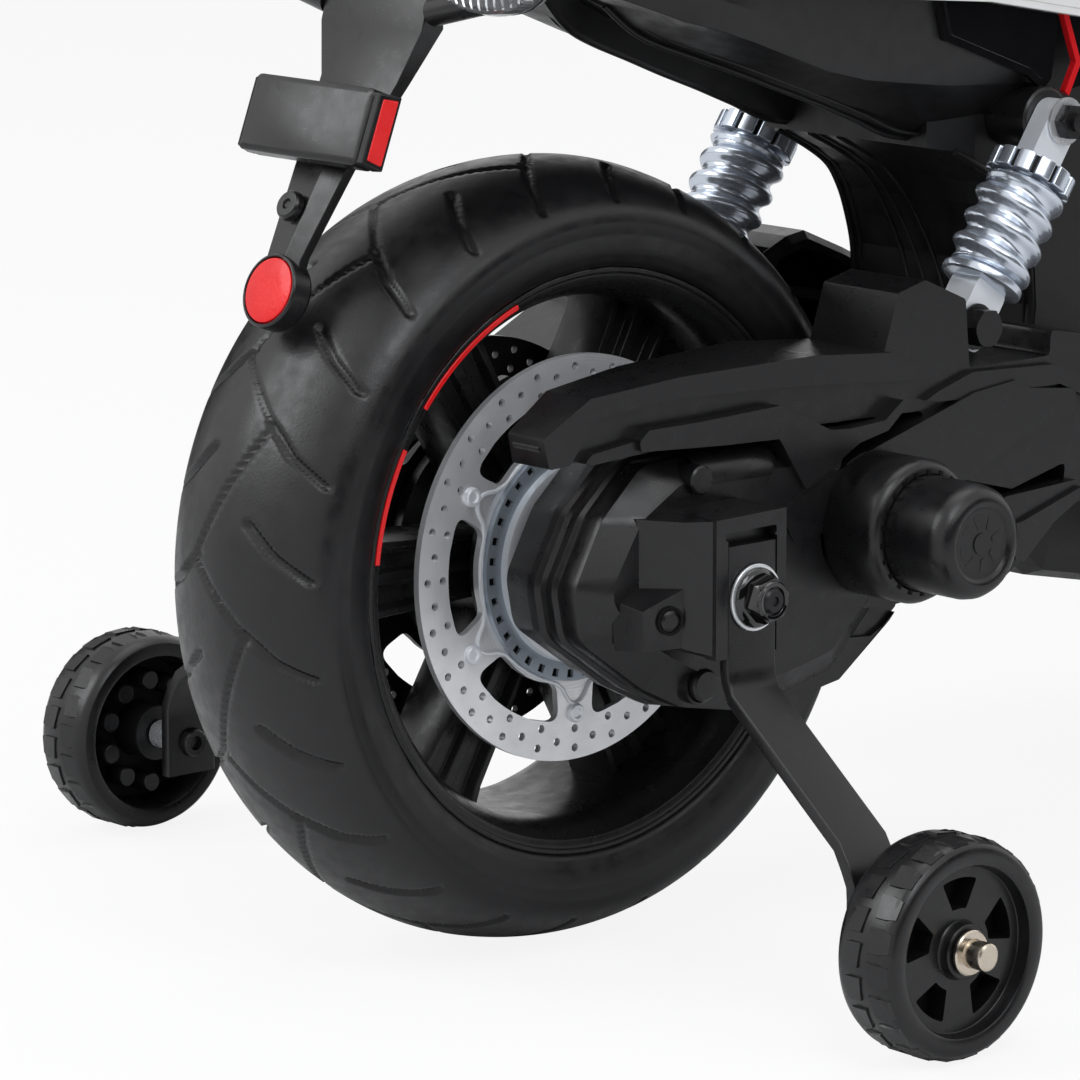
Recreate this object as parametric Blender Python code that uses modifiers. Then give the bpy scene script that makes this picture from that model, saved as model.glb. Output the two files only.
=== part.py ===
"""A ride-on electric motorcycle for a small child, with stabiliser wheels.

Metres, +Z up, +X forward, +Y to the rider's left. Sizes are written with the rear axle at X = 0 and the
ground at Z = 0, and one empty then carries the whole machine to the middle of its own length. The body's
heights are drawn with the axle at AXLE_DATUM, so a larger or smaller wheel lifts or lowers all of it.
"""

import math

import bmesh
import bpy
from mathutils import Matrix, Vector

# Clearances
GAP = 0.0003
RUNNING_GAP = 0.0006

# How finely round pieces are divided
TYRE_STEPS = 32
RIM_STEPS = 24
ROUND_STEPS = 20
SMALL_STEPS = 16
PIN_STEPS = 12

# Wheels and stance
WHEEL_RADIUS = 0.150
WHEELBASE = 0.740
AXLE_DATUM = 0.150
LIFT = WHEEL_RADIUS - AXLE_DATUM
REAR_TYRE_HALF = 0.0447
FRONT_TYRE_HALF = 0.0375
BEAD_RADIUS = 0.1112
RIM_SEAT_RADIUS = 0.1060
RIM_INSIDE_RADIUS = 0.0995
REAR_RIM_HALF = 0.0412
FRONT_RIM_HALF = 0.0345
RIM_FLANGE = 0.0035
HUB_RADIUS = 0.0340
SPOKE_COUNT = 6
SPOKE_WIDTH = 0.032
SPOKE_GROOVE = 0.0025
SPOKE_HALF_HUB = 0.0125
SPOKE_HALF_RIM = 0.0105

# Brake discs
DISC_RADIUS = 0.0777
DISC_INSIDE = 0.0405
DISC_THICK = 0.0028
DISC_SEAT = 0.0050
REAR_DISC_FACE = 0.0293
FRONT_DISC_FACE = 0.0285
RING_RADIUS = 0.0490
RING_INSIDE = 0.0375
RING_THICK = 0.0040
WINDOW_COUNT = 6
WINDOW_INSIDE = 0.0515
WINDOW_OUTSIDE = 0.0625
WINDOW_HALF_ANGLE = 21.0

# Axles and their fastenings
AXLE_RADIUS = 0.0050
WASHER_RADIUS = 0.0125
WASHER_THICK = 0.0015
NUT_RADIUS = 0.0098
NUT_THICK = 0.0084
AXLE_BEYOND_NUT = 0.0015

# Rear drive and swingarm
ARM_INSIDE = 0.0565
ARM_OUTSIDE = 0.0985
ARM_WALL = 0.0090
ARM_POCKET_HIGH = [(0.1860, 0.2260), (0.1890, 0.2350), (0.2030, 0.2390), (0.2211, 0.2330), (0.2400, 0.2225), (0.2480, 0.2130)]
ARM_POCKET_LOW = [(0.1840, 0.1900), (0.1850, 0.2220), (0.2420, 0.2100), (0.2270, 0.2000), (0.2200, 0.1880)]
HOUSING_INSIDE = 0.0490
HOUSING_OUTSIDE = 0.1000
BLOCK_OUTSIDE = 0.1265
BLOCK_REAR = -0.0187
BLOCK_FRONT = 0.0166
BLOCK_BOTTOM = 0.1280
BLOCK_TOP = 0.1805
MOTOR_X = 0.0880
MOTOR_Z = 0.1625
MOTOR_RADIUS = 0.0275
MOTOR_CAP_RADIUS = 0.0220
MOTOR_BODY_RADIUS = 0.0190
MOTOR_COVER_END = 0.1280
MOTOR_CAP_END = 0.1580
PIVOT_X = 0.2450
PIVOT_Z = 0.1880
PIVOT_RADIUS = 0.0120

# Stabilisers
STAB_RADIUS = 0.0410
STAB_TRACK_HALF = 0.2321
STAB_HALF_WIDTH = 0.0150
STAB_X = -0.0073
BAR_WIDTH = 0.0240
BAR_THICK = 0.0050
BAR_TOP = 0.1700
BAR_MIDDLE_X = -0.0005
BAR_BEND_Z = 0.1165
PIN_RADIUS = 0.0040

# Shock absorbers
SHOCK_Y = 0.0770
SHOCK_FOOT_X = 0.1580
SHOCK_FOOT_Z = 0.2280
SHOCK_EYE_X = 0.2090
SHOCK_EYE_Z = 0.3030
BARREL_RADIUS = 0.0105
FLANGE_RADIUS = 0.0165
FLANGE_TOP = 0.0215
COIL_SEAT = 0.0047
COIL_WIRE = 0.0033
COIL_TURNS = 3.5
COIL_POINTS = 12
COIL_PITCH = 0.0083
CLEVIS_WIDTH = 0.0140
EYE_THICK = 0.0090
COLLAR_RADIUS = 0.0172
COLLAR_NOTCH = 0.0022
COLLAR_HEIGHT = 0.0080
COLLAR_MIDDLE = 0.0662
BOLT_RADIUS = 0.0035

# Body
DECK_Z = 0.3997
BODY_HALF_REAR = 0.0520
BODY_HALF_FRONT = 0.0620
REAR_ARCH = [
    (0.1500, 0.2960),
    (0.1813, 0.2903),
    (0.1978, 0.2821),
    (0.2100, 0.2740),
    (0.2170, 0.2640),
    (0.2215, 0.2530),
    (0.2250, 0.2400),
    (0.2262, 0.2250),
    (0.2240, 0.2050),
    (0.2170, 0.1850),
    (0.2120, 0.1600),
    (0.2110, 0.1300),
    (0.1500, 0.1300),
]
RECESS = [(0.2900, 0.1500), (0.3150, 0.1220), (0.4550, 0.1220), (0.5050, 0.1900), (0.4900, 0.3000), (0.3300, 0.3000)]
RECESS_CORNER = 0.014
RECESS_FLOOR = 0.0490
FIN_COUNT = 5
FIN_LOW = 0.1480
FIN_PITCH = 0.0260
FIN_THICK = 0.0070
FIN_LEAN = 0.22
FIN_REAR_X = 0.3400
FIN_FRONT_X = 0.4600
FIN_FACE = 0.0575
TAIL_HALF = 0.0660
COVER_THICK = 0.0120
PANEL_THICK = 0.0080
SEAT_BACK_X = -0.030
SEAT_FRONT_X = 0.380
SEAT_THICK = 0.046
SEAT_HALF = 0.086
TANK_FRONT_X = 0.514
TANK_TOP_Z = 0.500
TANK_HALF = 0.080

# Controls on the tank
CONTROL_X = 0.465
CONTROL_Y = 0.030
BUTTON_RADIUS = 0.0090
BUTTON_DEPTH = 0.0090
BUTTON_PROUD = 0.0030
BUTTON_TRAVEL = 0.0020
ROCKER_SIZE = (0.0190, 0.0130)
ROCKER_DROP = 0.0050

# Battery and electronics bay
BAY_REAR_X = 0.262
BAY_FRONT_X = 0.505
BAY_HALF = 0.0440
BAY_FLOOR_Z = 0.1180
BATTERY_SIZE = (0.151, 0.065, 0.094)
CONTROLLER_SIZE = (0.070, 0.050, 0.026)

# Steering
RAKE = math.radians(25)
FORK_OFFSET = 0.030
FORK_LENGTH = 0.360
HEAD_HALF = 0.045
HEAD_RADIUS = 0.021
STEM_RADIUS = 0.011
YOKE_THICK = 0.012
LEG_RADIUS = 0.013
LEG_Y = 0.056
BAR_RADIUS = 0.008
GRIP_RADIUS = 0.0125
GRIP_LENGTH = 0.085
BAR_HALF_SPAN = 0.225

# Foot boards and pedal
BOARD_REAR_X = 0.315
BOARD_FRONT_X = 0.470
BOARD_Z = 0.125
BOARD_THICK = 0.012
BOARD_OUT = 0.160
PEDAL_LENGTH = 0.090
PEDAL_WIDTH = 0.046
PEDAL_THICK = 0.006
PEDAL_TILT = math.radians(14)
PEDAL_PIVOT_X = 0.345
PEDAL_PIVOT_Z = 0.1420
PEDAL_Y = -0.113
PEDAL_BARREL = 0.0045

# Number plate arm
PLATE_CENTRE = (-0.1066, 0.3229)
PLATE_HALF_WIDTH = 0.0335
PLATE_HEIGHT = 0.0290
PLATE_THICK = 0.0100
PLATE_LEAN = math.radians(20.5)
REFLECTOR_CENTRE = (-0.1241, 0.2615)
REFLECTOR_RADIUS = 0.0124
ARM_PLATE_THICK = 0.0050
ARM_RIDGE = 0.0026
TAIL_END_X = -0.0620
TAIL_END_LOW = 0.3720
TAIL_FRONT_X = 0.2150
TAIL_ROOF_Z = 0.3700
SIGNAL_X = -0.0690
SIGNAL_Z = 0.3610
LAMP_CENTRE_Y = 0.0655
LAMP_RISE = 0.0140
STALK_RISE = 0.0060
ARM_ROOT_HALF = 0.0285
ARM_TOP_Z = 0.3670
HEADLIGHT_RADIUS = 0.0300
SCREEN_THICK = 0.0025
SCREEN_SUNK = 0.0080

# Colours: name, base colour, roughness, metallic
FINISHES = {
    "satin_black": ((0.016, 0.016, 0.017), 0.45, 0.0),
    "matte_black": ((0.022, 0.022, 0.023), 0.60, 0.0),
    "gloss_black": ((0.006, 0.006, 0.007), 0.10, 0.0),
    "tyre_black": ((0.014, 0.014, 0.014), 0.55, 0.0),
    "brushed_steel": ((0.60, 0.61, 0.63), 0.28, 1.0),
    "black_steel": ((0.020, 0.020, 0.021), 0.30, 0.6),
    "blued_steel": ((0.23, 0.26, 0.31), 0.32, 0.9),
    "chrome": ((0.80, 0.82, 0.86), 0.07, 1.0),
    "zinc": ((0.70, 0.72, 0.74), 0.25, 1.0),
    "nickel": ((0.68, 0.61, 0.50), 0.22, 1.0),
    "reflector_red": ((0.75, 0.02, 0.04), 0.20, 0.0),
    "body_white": ((0.82, 0.82, 0.82), 0.25, 0.0),
    "body_red": ((0.70, 0.02, 0.03), 0.20, 0.0),
    "clear_lens": ((0.80, 0.82, 0.84), 0.06, 0.0),
    "vinyl_black": ((0.018, 0.018, 0.018), 0.50, 0.0),
    "grip_rubber": ((0.015, 0.015, 0.015), 0.70, 0.0),
    "control_red": ((0.65, 0.03, 0.03), 0.35, 0.0),
    "control_grey": ((0.20, 0.20, 0.21), 0.45, 0.0),
    "case_grey": ((0.10, 0.10, 0.11), 0.50, 0.0),
}


for old in list(bpy.data.objects):
    bpy.data.objects.remove(old, do_unlink=True)

PARTS = bpy.data.collections.new("kids_electric_motorcycle")
TOOLS = bpy.data.collections.new("cutters")
bpy.context.scene.collection.children.link(PARTS)
bpy.context.scene.collection.children.link(TOOLS)


# Materials, empties and objects

def make_finishes():
    made = {}
    for name, (colour, roughness, metallic) in FINISHES.items():
        finish = bpy.data.materials.new(name)
        finish.use_nodes = True
        shader = finish.node_tree.nodes["Principled BSDF"]
        shader.inputs["Base Color"].default_value = (*colour, 1.0)
        shader.inputs["Roughness"].default_value = roughness
        shader.inputs["Metallic"].default_value = metallic
        finish.diffuse_color = (*colour, 1.0)
        made[name] = finish
    return made


FINISH = make_finishes()


def holder(name, location, parent=None, tilt=0.0):
    """An empty on a joint's axis, or at the machine's own origin."""
    empty = bpy.data.objects.new(name, None)
    empty.empty_display_size = 0.03
    PARTS.objects.link(empty)
    empty.location = location
    empty.rotation_euler = (0.0, tilt, 0.0)
    empty.parent = parent
    return empty


def put(name, mesh, finish, parent, location=(0.0, 0.0, 0.0), turn=(0.0, 0.0, 0.0)):
    """A sub-part: its mesh, its finish, the empty that carries it and its place there."""
    mesh.name = name
    mesh.materials.clear()
    mesh.materials.append(FINISH[finish])
    body = bpy.data.objects.new(name, mesh)
    PARTS.objects.link(body)
    body.parent = parent
    body.location = location
    body.rotation_euler = turn
    return body


def tool(name, mesh, parent, location=(0.0, 0.0, 0.0), turn=(0.0, 0.0, 0.0)):
    """A cutter or a piece to be joined, kept out of sight in its own collection."""
    body = bpy.data.objects.new(name, mesh)
    TOOLS.objects.link(body)
    body.parent = parent
    body.location = location
    body.rotation_euler = turn
    body.display_type = "WIRE"
    body.hide_render = True
    return body


def boolean(body, other, operation):
    change = body.modifiers.new(other.name, "BOOLEAN")
    change.operation = operation
    change.solver = "EXACT"
    change.object = other


def cut(body, other):
    boolean(body, other, "DIFFERENCE")


def join(body, other):
    boolean(body, other, "UNION")


def bevel(body, width, segments=1, angle=35.0):
    edge = body.modifiers.new("rounded_edges", "BEVEL")
    edge.width = width
    edge.segments = segments
    edge.limit_method = "ANGLE"
    edge.angle_limit = math.radians(angle)
    edge.use_clamp_overlap = True


def smooth(body, angle=35.0):
    body.data.shade_smooth()
    body.data.set_sharp_from_angle(angle=math.radians(angle))


# Shapes as meshes

def mesh_from(bm, name="shape"):
    bmesh.ops.recalc_face_normals(bm, faces=bm.faces)
    mesh = bpy.data.meshes.new(name)
    bm.to_mesh(mesh)
    bm.free()
    return mesh


def box_mesh(low, high):
    """A box between two corners."""
    size = [b - a for a, b in zip(low, high)]
    middle = [(a + b) / 2 for a, b in zip(low, high)]
    bm = bmesh.new()
    bmesh.ops.create_cube(bm, size=1.0, matrix=Matrix.Translation(middle) @ Matrix.Diagonal((*size, 1.0)))
    return mesh_from(bm, "box")


def rod_mesh(radius, start, end, sides=24, end_radius=None):
    """A rod, or a cone, from one point to another."""
    start = Vector(start)
    end = Vector(end)
    run = end - start
    turn = run.to_track_quat("Z", "Y").to_matrix().to_4x4()
    place = Matrix.Translation((start + end) / 2) @ turn
    bm = bmesh.new()
    bmesh.ops.create_cone(
        bm,
        cap_ends=True,
        segments=sides,
        radius1=radius,
        radius2=radius if end_radius is None else end_radius,
        depth=run.length,
        matrix=place,
    )
    return mesh_from(bm, "rod")


def together(*meshes):
    """Several separate solids in one mesh."""
    bm = bmesh.new()
    for mesh in meshes:
        bm.from_mesh(mesh)
    return mesh_from(bm, "group")


def outline_mesh(loops, low, high):
    """A flat outline in X and Z, filled, reaching from low to high along Y."""
    curve = bpy.data.curves.new("outline", "CURVE")
    curve.dimensions = "2D"
    curve.fill_mode = "BOTH"
    curve.extrude = (high - low) / 2
    for loop in loops:
        spline = curve.splines.new("POLY")
        spline.points.add(len(loop) - 1)
        for point, (x, z) in zip(spline.points, loop):
            point.co = (x, z, 0.0, 1.0)
        spline.use_cyclic_u = True
    rig = bpy.data.objects.new("outline", curve)
    bpy.context.scene.collection.objects.link(rig)
    bpy.context.view_layer.update()
    depsgraph = bpy.context.evaluated_depsgraph_get()
    mesh = bpy.data.meshes.new_from_object(rig.evaluated_get(depsgraph))
    bpy.data.objects.remove(rig, do_unlink=True)
    bpy.data.curves.remove(curve)
    bm = bmesh.new()
    bm.from_mesh(mesh)
    bmesh.ops.remove_doubles(bm, verts=bm.verts, dist=0.00001)
    stand = Matrix.Translation((0.0, (low + high) / 2, 0.0)) @ Matrix.Rotation(math.pi / 2, 4, "X")
    bmesh.ops.transform(bm, matrix=stand, verts=bm.verts)
    bmesh.ops.dissolve_limit(bm, angle_limit=0.001, verts=bm.verts, edges=bm.edges)
    return mesh_from(bm, "plate")


def rounded(points, radius, steps=3):
    """The same outline with each corner turned to an arc."""
    out = []
    count = len(points)
    for i, corner in enumerate(points):
        corner = Vector(corner)
        before = Vector(points[i - 1]) - corner
        after = Vector(points[(i + 1) % count]) - corner
        opening = before.angle(after)
        reach = radius / math.tan(opening / 2)
        reach = min(reach, before.length * 0.45, after.length * 0.45)
        first = corner + before.normalized() * reach
        last = corner + after.normalized() * reach
        for s in range(steps + 1):
            t = s / steps
            point = first * (1 - t) ** 2 + corner * 2 * t * (1 - t) + last * t ** 2
            out.append((point.x, point.y))
    return out


def arc(radius, start, end, steps, centre=(0.0, 0.0)):
    """Points along an arc; angles in degrees from +X towards +Z."""
    out = []
    for s in range(steps + 1):
        angle = math.radians(start + (end - start) * s / steps)
        out.append((centre[0] + radius * math.cos(angle), centre[1] + radius * math.sin(angle)))
    return out


def loft_mesh(sections):
    """A closed solid through sections that have the same number of points."""
    bm = bmesh.new()
    rings = [[bm.verts.new(point) for point in section] for section in sections]
    count = len(rings[0])
    for near, far in zip(rings, rings[1:]):
        for i in range(count):
            j = (i + 1) % count
            bm.faces.new((near[i], near[j], far[j], far[i]))
    bm.faces.new(rings[0])
    bm.faces.new(list(reversed(rings[-1])))
    return mesh_from(bm, "loft")


def tube_mesh(points, radius):
    """A round tube along a route, closed at both ends."""
    curve = bpy.data.curves.new("tube", "CURVE")
    curve.dimensions = "3D"
    curve.bevel_depth = radius
    curve.bevel_resolution = 1
    curve.use_fill_caps = True
    spline = curve.splines.new("POLY")
    spline.points.add(len(points) - 1)
    for point, place in zip(spline.points, points):
        point.co = (*place, 1.0)
    rig = bpy.data.objects.new("tube", curve)
    bpy.context.scene.collection.objects.link(rig)
    bpy.context.view_layer.update()
    depsgraph = bpy.context.evaluated_depsgraph_get()
    mesh = bpy.data.meshes.new_from_object(rig.evaluated_get(depsgraph))
    bpy.data.objects.remove(rig, do_unlink=True)
    bpy.data.curves.remove(curve)
    bm = bmesh.new()
    bm.from_mesh(mesh)
    bmesh.ops.remove_doubles(bm, verts=bm.verts, dist=0.00001)
    return mesh_from(bm, "tube")


def cross_section(x, low, high, half, corner=0.018, steps=2):
    """A rounded rectangle across the machine at one X."""
    corner = min(corner, half * 0.9, (high - low) * 0.45)
    square = [(half, low), (half, high), (-half, high), (-half, low)]
    return [(x, y, z) for y, z in rounded(square, corner, steps)]


def body_loft(stations, corner=0.018, steps=2):
    return loft_mesh([cross_section(x, low, high, half, corner, steps) for x, low, high, half in stations])


def turned(name, profile, finish, parent, location=(0.0, 0.0, 0.0), turn=(0.0, 0.0, 0.0), steps=48, closed=True):
    """A turned piece: a profile of radius and height, spun about its own Z by a Screw modifier."""
    area = 0.0
    for (r0, h0), (r1, h1) in zip(profile, profile[1:] + profile[:1]):
        area += r0 * h1 - r1 * h0
    if area > 0.0:
        profile = list(reversed(profile))
    bm = bmesh.new()
    points = [bm.verts.new((r, 0.0, h)) for r, h in profile]
    for a, b in zip(points, points[1:]):
        bm.edges.new((a, b))
    if closed:
        bm.edges.new((points[-1], points[0]))
    mesh = bpy.data.meshes.new(name)
    bm.to_mesh(mesh)
    bm.free()
    if finish is None:
        body = tool(name, mesh, parent, location, turn)
    else:
        body = put(name, mesh, finish, parent, location, turn)
    spin = body.modifiers.new("spin", "SCREW")
    spin.angle = math.tau
    spin.screw_offset = 0.0
    spin.steps = steps
    spin.render_steps = steps
    spin.use_merge_vertices = True
    spin.merge_threshold = 0.00001
    spin.use_smooth_shade = True
    return body


ALONG_RIGHT = (math.pi / 2, 0.0, 0.0)
ALONG_LEFT = (-math.pi / 2, 0.0, 0.0)


def side_name(side):
    return "left" if side > 0 else "right"


# The empties: the whole machine, and each joint's axis

FRONT_REACH = WHEELBASE + WHEEL_RADIUS
REAR_REACH = -WHEEL_RADIUS
MACHINE = holder("machine", (-(FRONT_REACH + REAR_REACH) / 2, 0.0, 0.0))
CHASSIS = holder("chassis_datum", (0.0, 0.0, LIFT), MACHINE)
REAR_AXIS = holder("rear_axle_axis", (0.0, 0.0, WHEEL_RADIUS), MACHINE)
HEAD_X = WHEELBASE - FORK_OFFSET * math.cos(RAKE) - FORK_LENGTH * math.sin(RAKE)
HEAD_Z = WHEEL_RADIUS - FORK_OFFSET * math.sin(RAKE) + FORK_LENGTH * math.cos(RAKE)
STEERING = holder("steering_axis", (HEAD_X, 0.0, HEAD_Z), MACHINE, tilt=-RAKE)
FRONT_AXIS = holder("front_axle_axis", (FORK_OFFSET, 0.0, -FORK_LENGTH), STEERING, tilt=RAKE)


# Wheels

def tyre(name, half, parent, steps):
    """A road tyre: round crown, full shoulders, and beads that sit on the rim between its flanges."""
    scale = half / REAR_TYRE_HALF
    crown = [
        (WHEEL_RADIUS, 0.0),
        (WHEEL_RADIUS - 0.0014, 0.013 * scale),
        (WHEEL_RADIUS - 0.0048, 0.0255 * scale),
        (WHEEL_RADIUS - 0.0100, 0.0365 * scale),
        (WHEEL_RADIUS - 0.0165, 0.0432 * scale),
        (WHEEL_RADIUS - 0.0240, half),
        (WHEEL_RADIUS - 0.0320, 0.0438 * scale),
    ]
    rim_half = rim_half_of(half)
    bead = [
        (BEAD_RADIUS + 0.0006, rim_half),
        (BEAD_RADIUS + 0.0006, rim_half - RIM_FLANGE - GAP),
        (RIM_SEAT_RADIUS + GAP, rim_half - RIM_FLANGE - GAP),
    ]
    outer = crown + bead
    profile = [(r, -h) for r, h in reversed(outer[1:])] + outer
    return turned(name, profile, "tyre_black", parent, turn=ALONG_RIGHT, steps=steps)


def rim_half_of(tyre_half):
    return REAR_RIM_HALF if tyre_half == REAR_TYRE_HALF else FRONT_RIM_HALF


def rim(name, rim_half, hub_half, parent, steps):
    """One moulding: a well between two flanges, a hub with the axle's bore, and broad grooved spokes."""
    well = [
        (BEAD_RADIUS, rim_half),
        (BEAD_RADIUS, rim_half - RIM_FLANGE),
        (RIM_SEAT_RADIUS, rim_half - RIM_FLANGE),
        (RIM_SEAT_RADIUS, -rim_half + RIM_FLANGE),
        (BEAD_RADIUS, -rim_half + RIM_FLANGE),
        (BEAD_RADIUS, -rim_half),
        (BEAD_RADIUS - 0.0050, -rim_half),
        (RIM_INSIDE_RADIUS, -rim_half + 0.010),
        (RIM_INSIDE_RADIUS, rim_half - 0.010),
        (BEAD_RADIUS - 0.0050, rim_half),
    ]
    wheel = turned(name, well, "satin_black", parent, turn=ALONG_RIGHT, steps=steps)
    hub = [
        (AXLE_RADIUS + GAP, hub_half),
        (AXLE_RADIUS + GAP, -hub_half),
        (DISC_INSIDE + DISC_SEAT, -hub_half),
        (DISC_INSIDE + DISC_SEAT, -hub_half + 0.006),
        (HUB_RADIUS, -hub_half + 0.012),
        (HUB_RADIUS, hub_half - 0.012),
        (DISC_INSIDE + DISC_SEAT, hub_half - 0.006),
        (DISC_INSIDE + DISC_SEAT, hub_half),
    ]
    centre = turned(name + "_hub", hub, None, parent, turn=ALONG_RIGHT, steps=SMALL_STEPS)
    spokes = []
    start = HUB_RADIUS - 0.008
    end = RIM_INSIDE_RADIUS + 0.003
    for i in range(SPOKE_COUNT):
        sections = [
            spoke_section(start, 0.31 * SPOKE_WIDTH, SPOKE_HALF_HUB),
            spoke_section(end, 0.50 * SPOKE_WIDTH, SPOKE_HALF_RIM),
        ]
        spoke = loft_mesh(sections)
        spoke.transform(Matrix.Rotation(-i * math.tau / SPOKE_COUNT, 4, "Y"))
        spokes.append(spoke)
    join(wheel, centre)
    join(wheel, tool(name + "_spokes", together(*spokes), parent))
    return wheel


def spoke_section(r, edge, half):
    """Across a spoke: a broad bar with a groove down the middle of each face."""
    side = [(-half, -edge), (-half, -SPOKE_GROOVE), (-half / 2, -SPOKE_GROOVE)]
    face = side + [(y, -z) for y, z in reversed(side)]
    return [(r, y, z) for y, z in face + [(-y, z) for y, z in reversed(face)]]


def disc_mesh(face, side):
    """A floating brake disc: a drilled band, six windows and an inner ring."""
    outside = arc(DISC_RADIUS, 0, 360, TYRE_STEPS)[:-1]
    inside = arc(DISC_INSIDE, 0, 360, ROUND_STEPS)[:-1]
    loops = [outside, inside]
    for i in range(WINDOW_COUNT):
        middle = i * 360 / WINDOW_COUNT
        outer = arc(WINDOW_OUTSIDE, middle - WINDOW_HALF_ANGLE, middle + WINDOW_HALF_ANGLE, 4)
        inner = arc(WINDOW_INSIDE, middle + WINDOW_HALF_ANGLE, middle - WINDOW_HALF_ANGLE, 3)
        loops.append(outer + inner)
    far = face * side
    near = (face - DISC_THICK) * side
    return outline_mesh(loops, min(far, near), max(far, near))


def build_rear_wheel():
    tyre("rear_tyre", REAR_TYRE_HALF, REAR_AXIS, TYRE_STEPS)
    hub_half = REAR_DISC_FACE - DISC_THICK - GAP
    rim("rear_rim", REAR_RIM_HALF, hub_half, REAR_AXIS, TYRE_STEPS)
    put("brake_disc_right", disc_mesh(REAR_DISC_FACE, -1), "brushed_steel", REAR_AXIS)
    put("brake_disc_left", disc_mesh(REAR_DISC_FACE, 1), "black_steel", REAR_AXIS)
    near = REAR_DISC_FACE + GAP
    ring = [
        (RING_RADIUS, near),
        (RING_RADIUS, near + RING_THICK),
        (RING_INSIDE + 0.0020, near + RING_THICK + 0.0020),
        (RING_INSIDE, near + RING_THICK + 0.0020),
        (RING_INSIDE, near),
    ]
    turned("sensor_ring", ring, "blued_steel", REAR_AXIS, turn=ALONG_RIGHT, steps=ROUND_STEPS)


def build_front_wheel():
    tyre("front_tyre", FRONT_TYRE_HALF, FRONT_AXIS, RIM_STEPS)
    hub_half = LEG_Y - LEG_RADIUS - RUNNING_GAP
    wheel = rim("front_rim", FRONT_RIM_HALF, hub_half, FRONT_AXIS, RIM_STEPS)
    for side in (-1, 1):
        near = FRONT_DISC_FACE - DISC_THICK
        disc = [
            (HUB_RADIUS - 0.004, near),
            (HUB_RADIUS - 0.004, FRONT_DISC_FACE),
            (DISC_RADIUS, FRONT_DISC_FACE),
            (DISC_RADIUS, near),
        ]
        name = "front_disc_" + side_name(side)
        turn = ALONG_LEFT if side > 0 else ALONG_RIGHT
        join(wheel, turned(name, disc, None, FRONT_AXIS, turn=turn, steps=RIM_STEPS))
    half = LEG_Y + LEG_RADIUS + 0.006
    put("front_axle", rod_mesh(AXLE_RADIUS, (0.0, -half, 0.0), (0.0, half, 0.0), PIN_STEPS), "zinc", FRONT_AXIS)


# Rear drive, swingarm and axle

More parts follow.
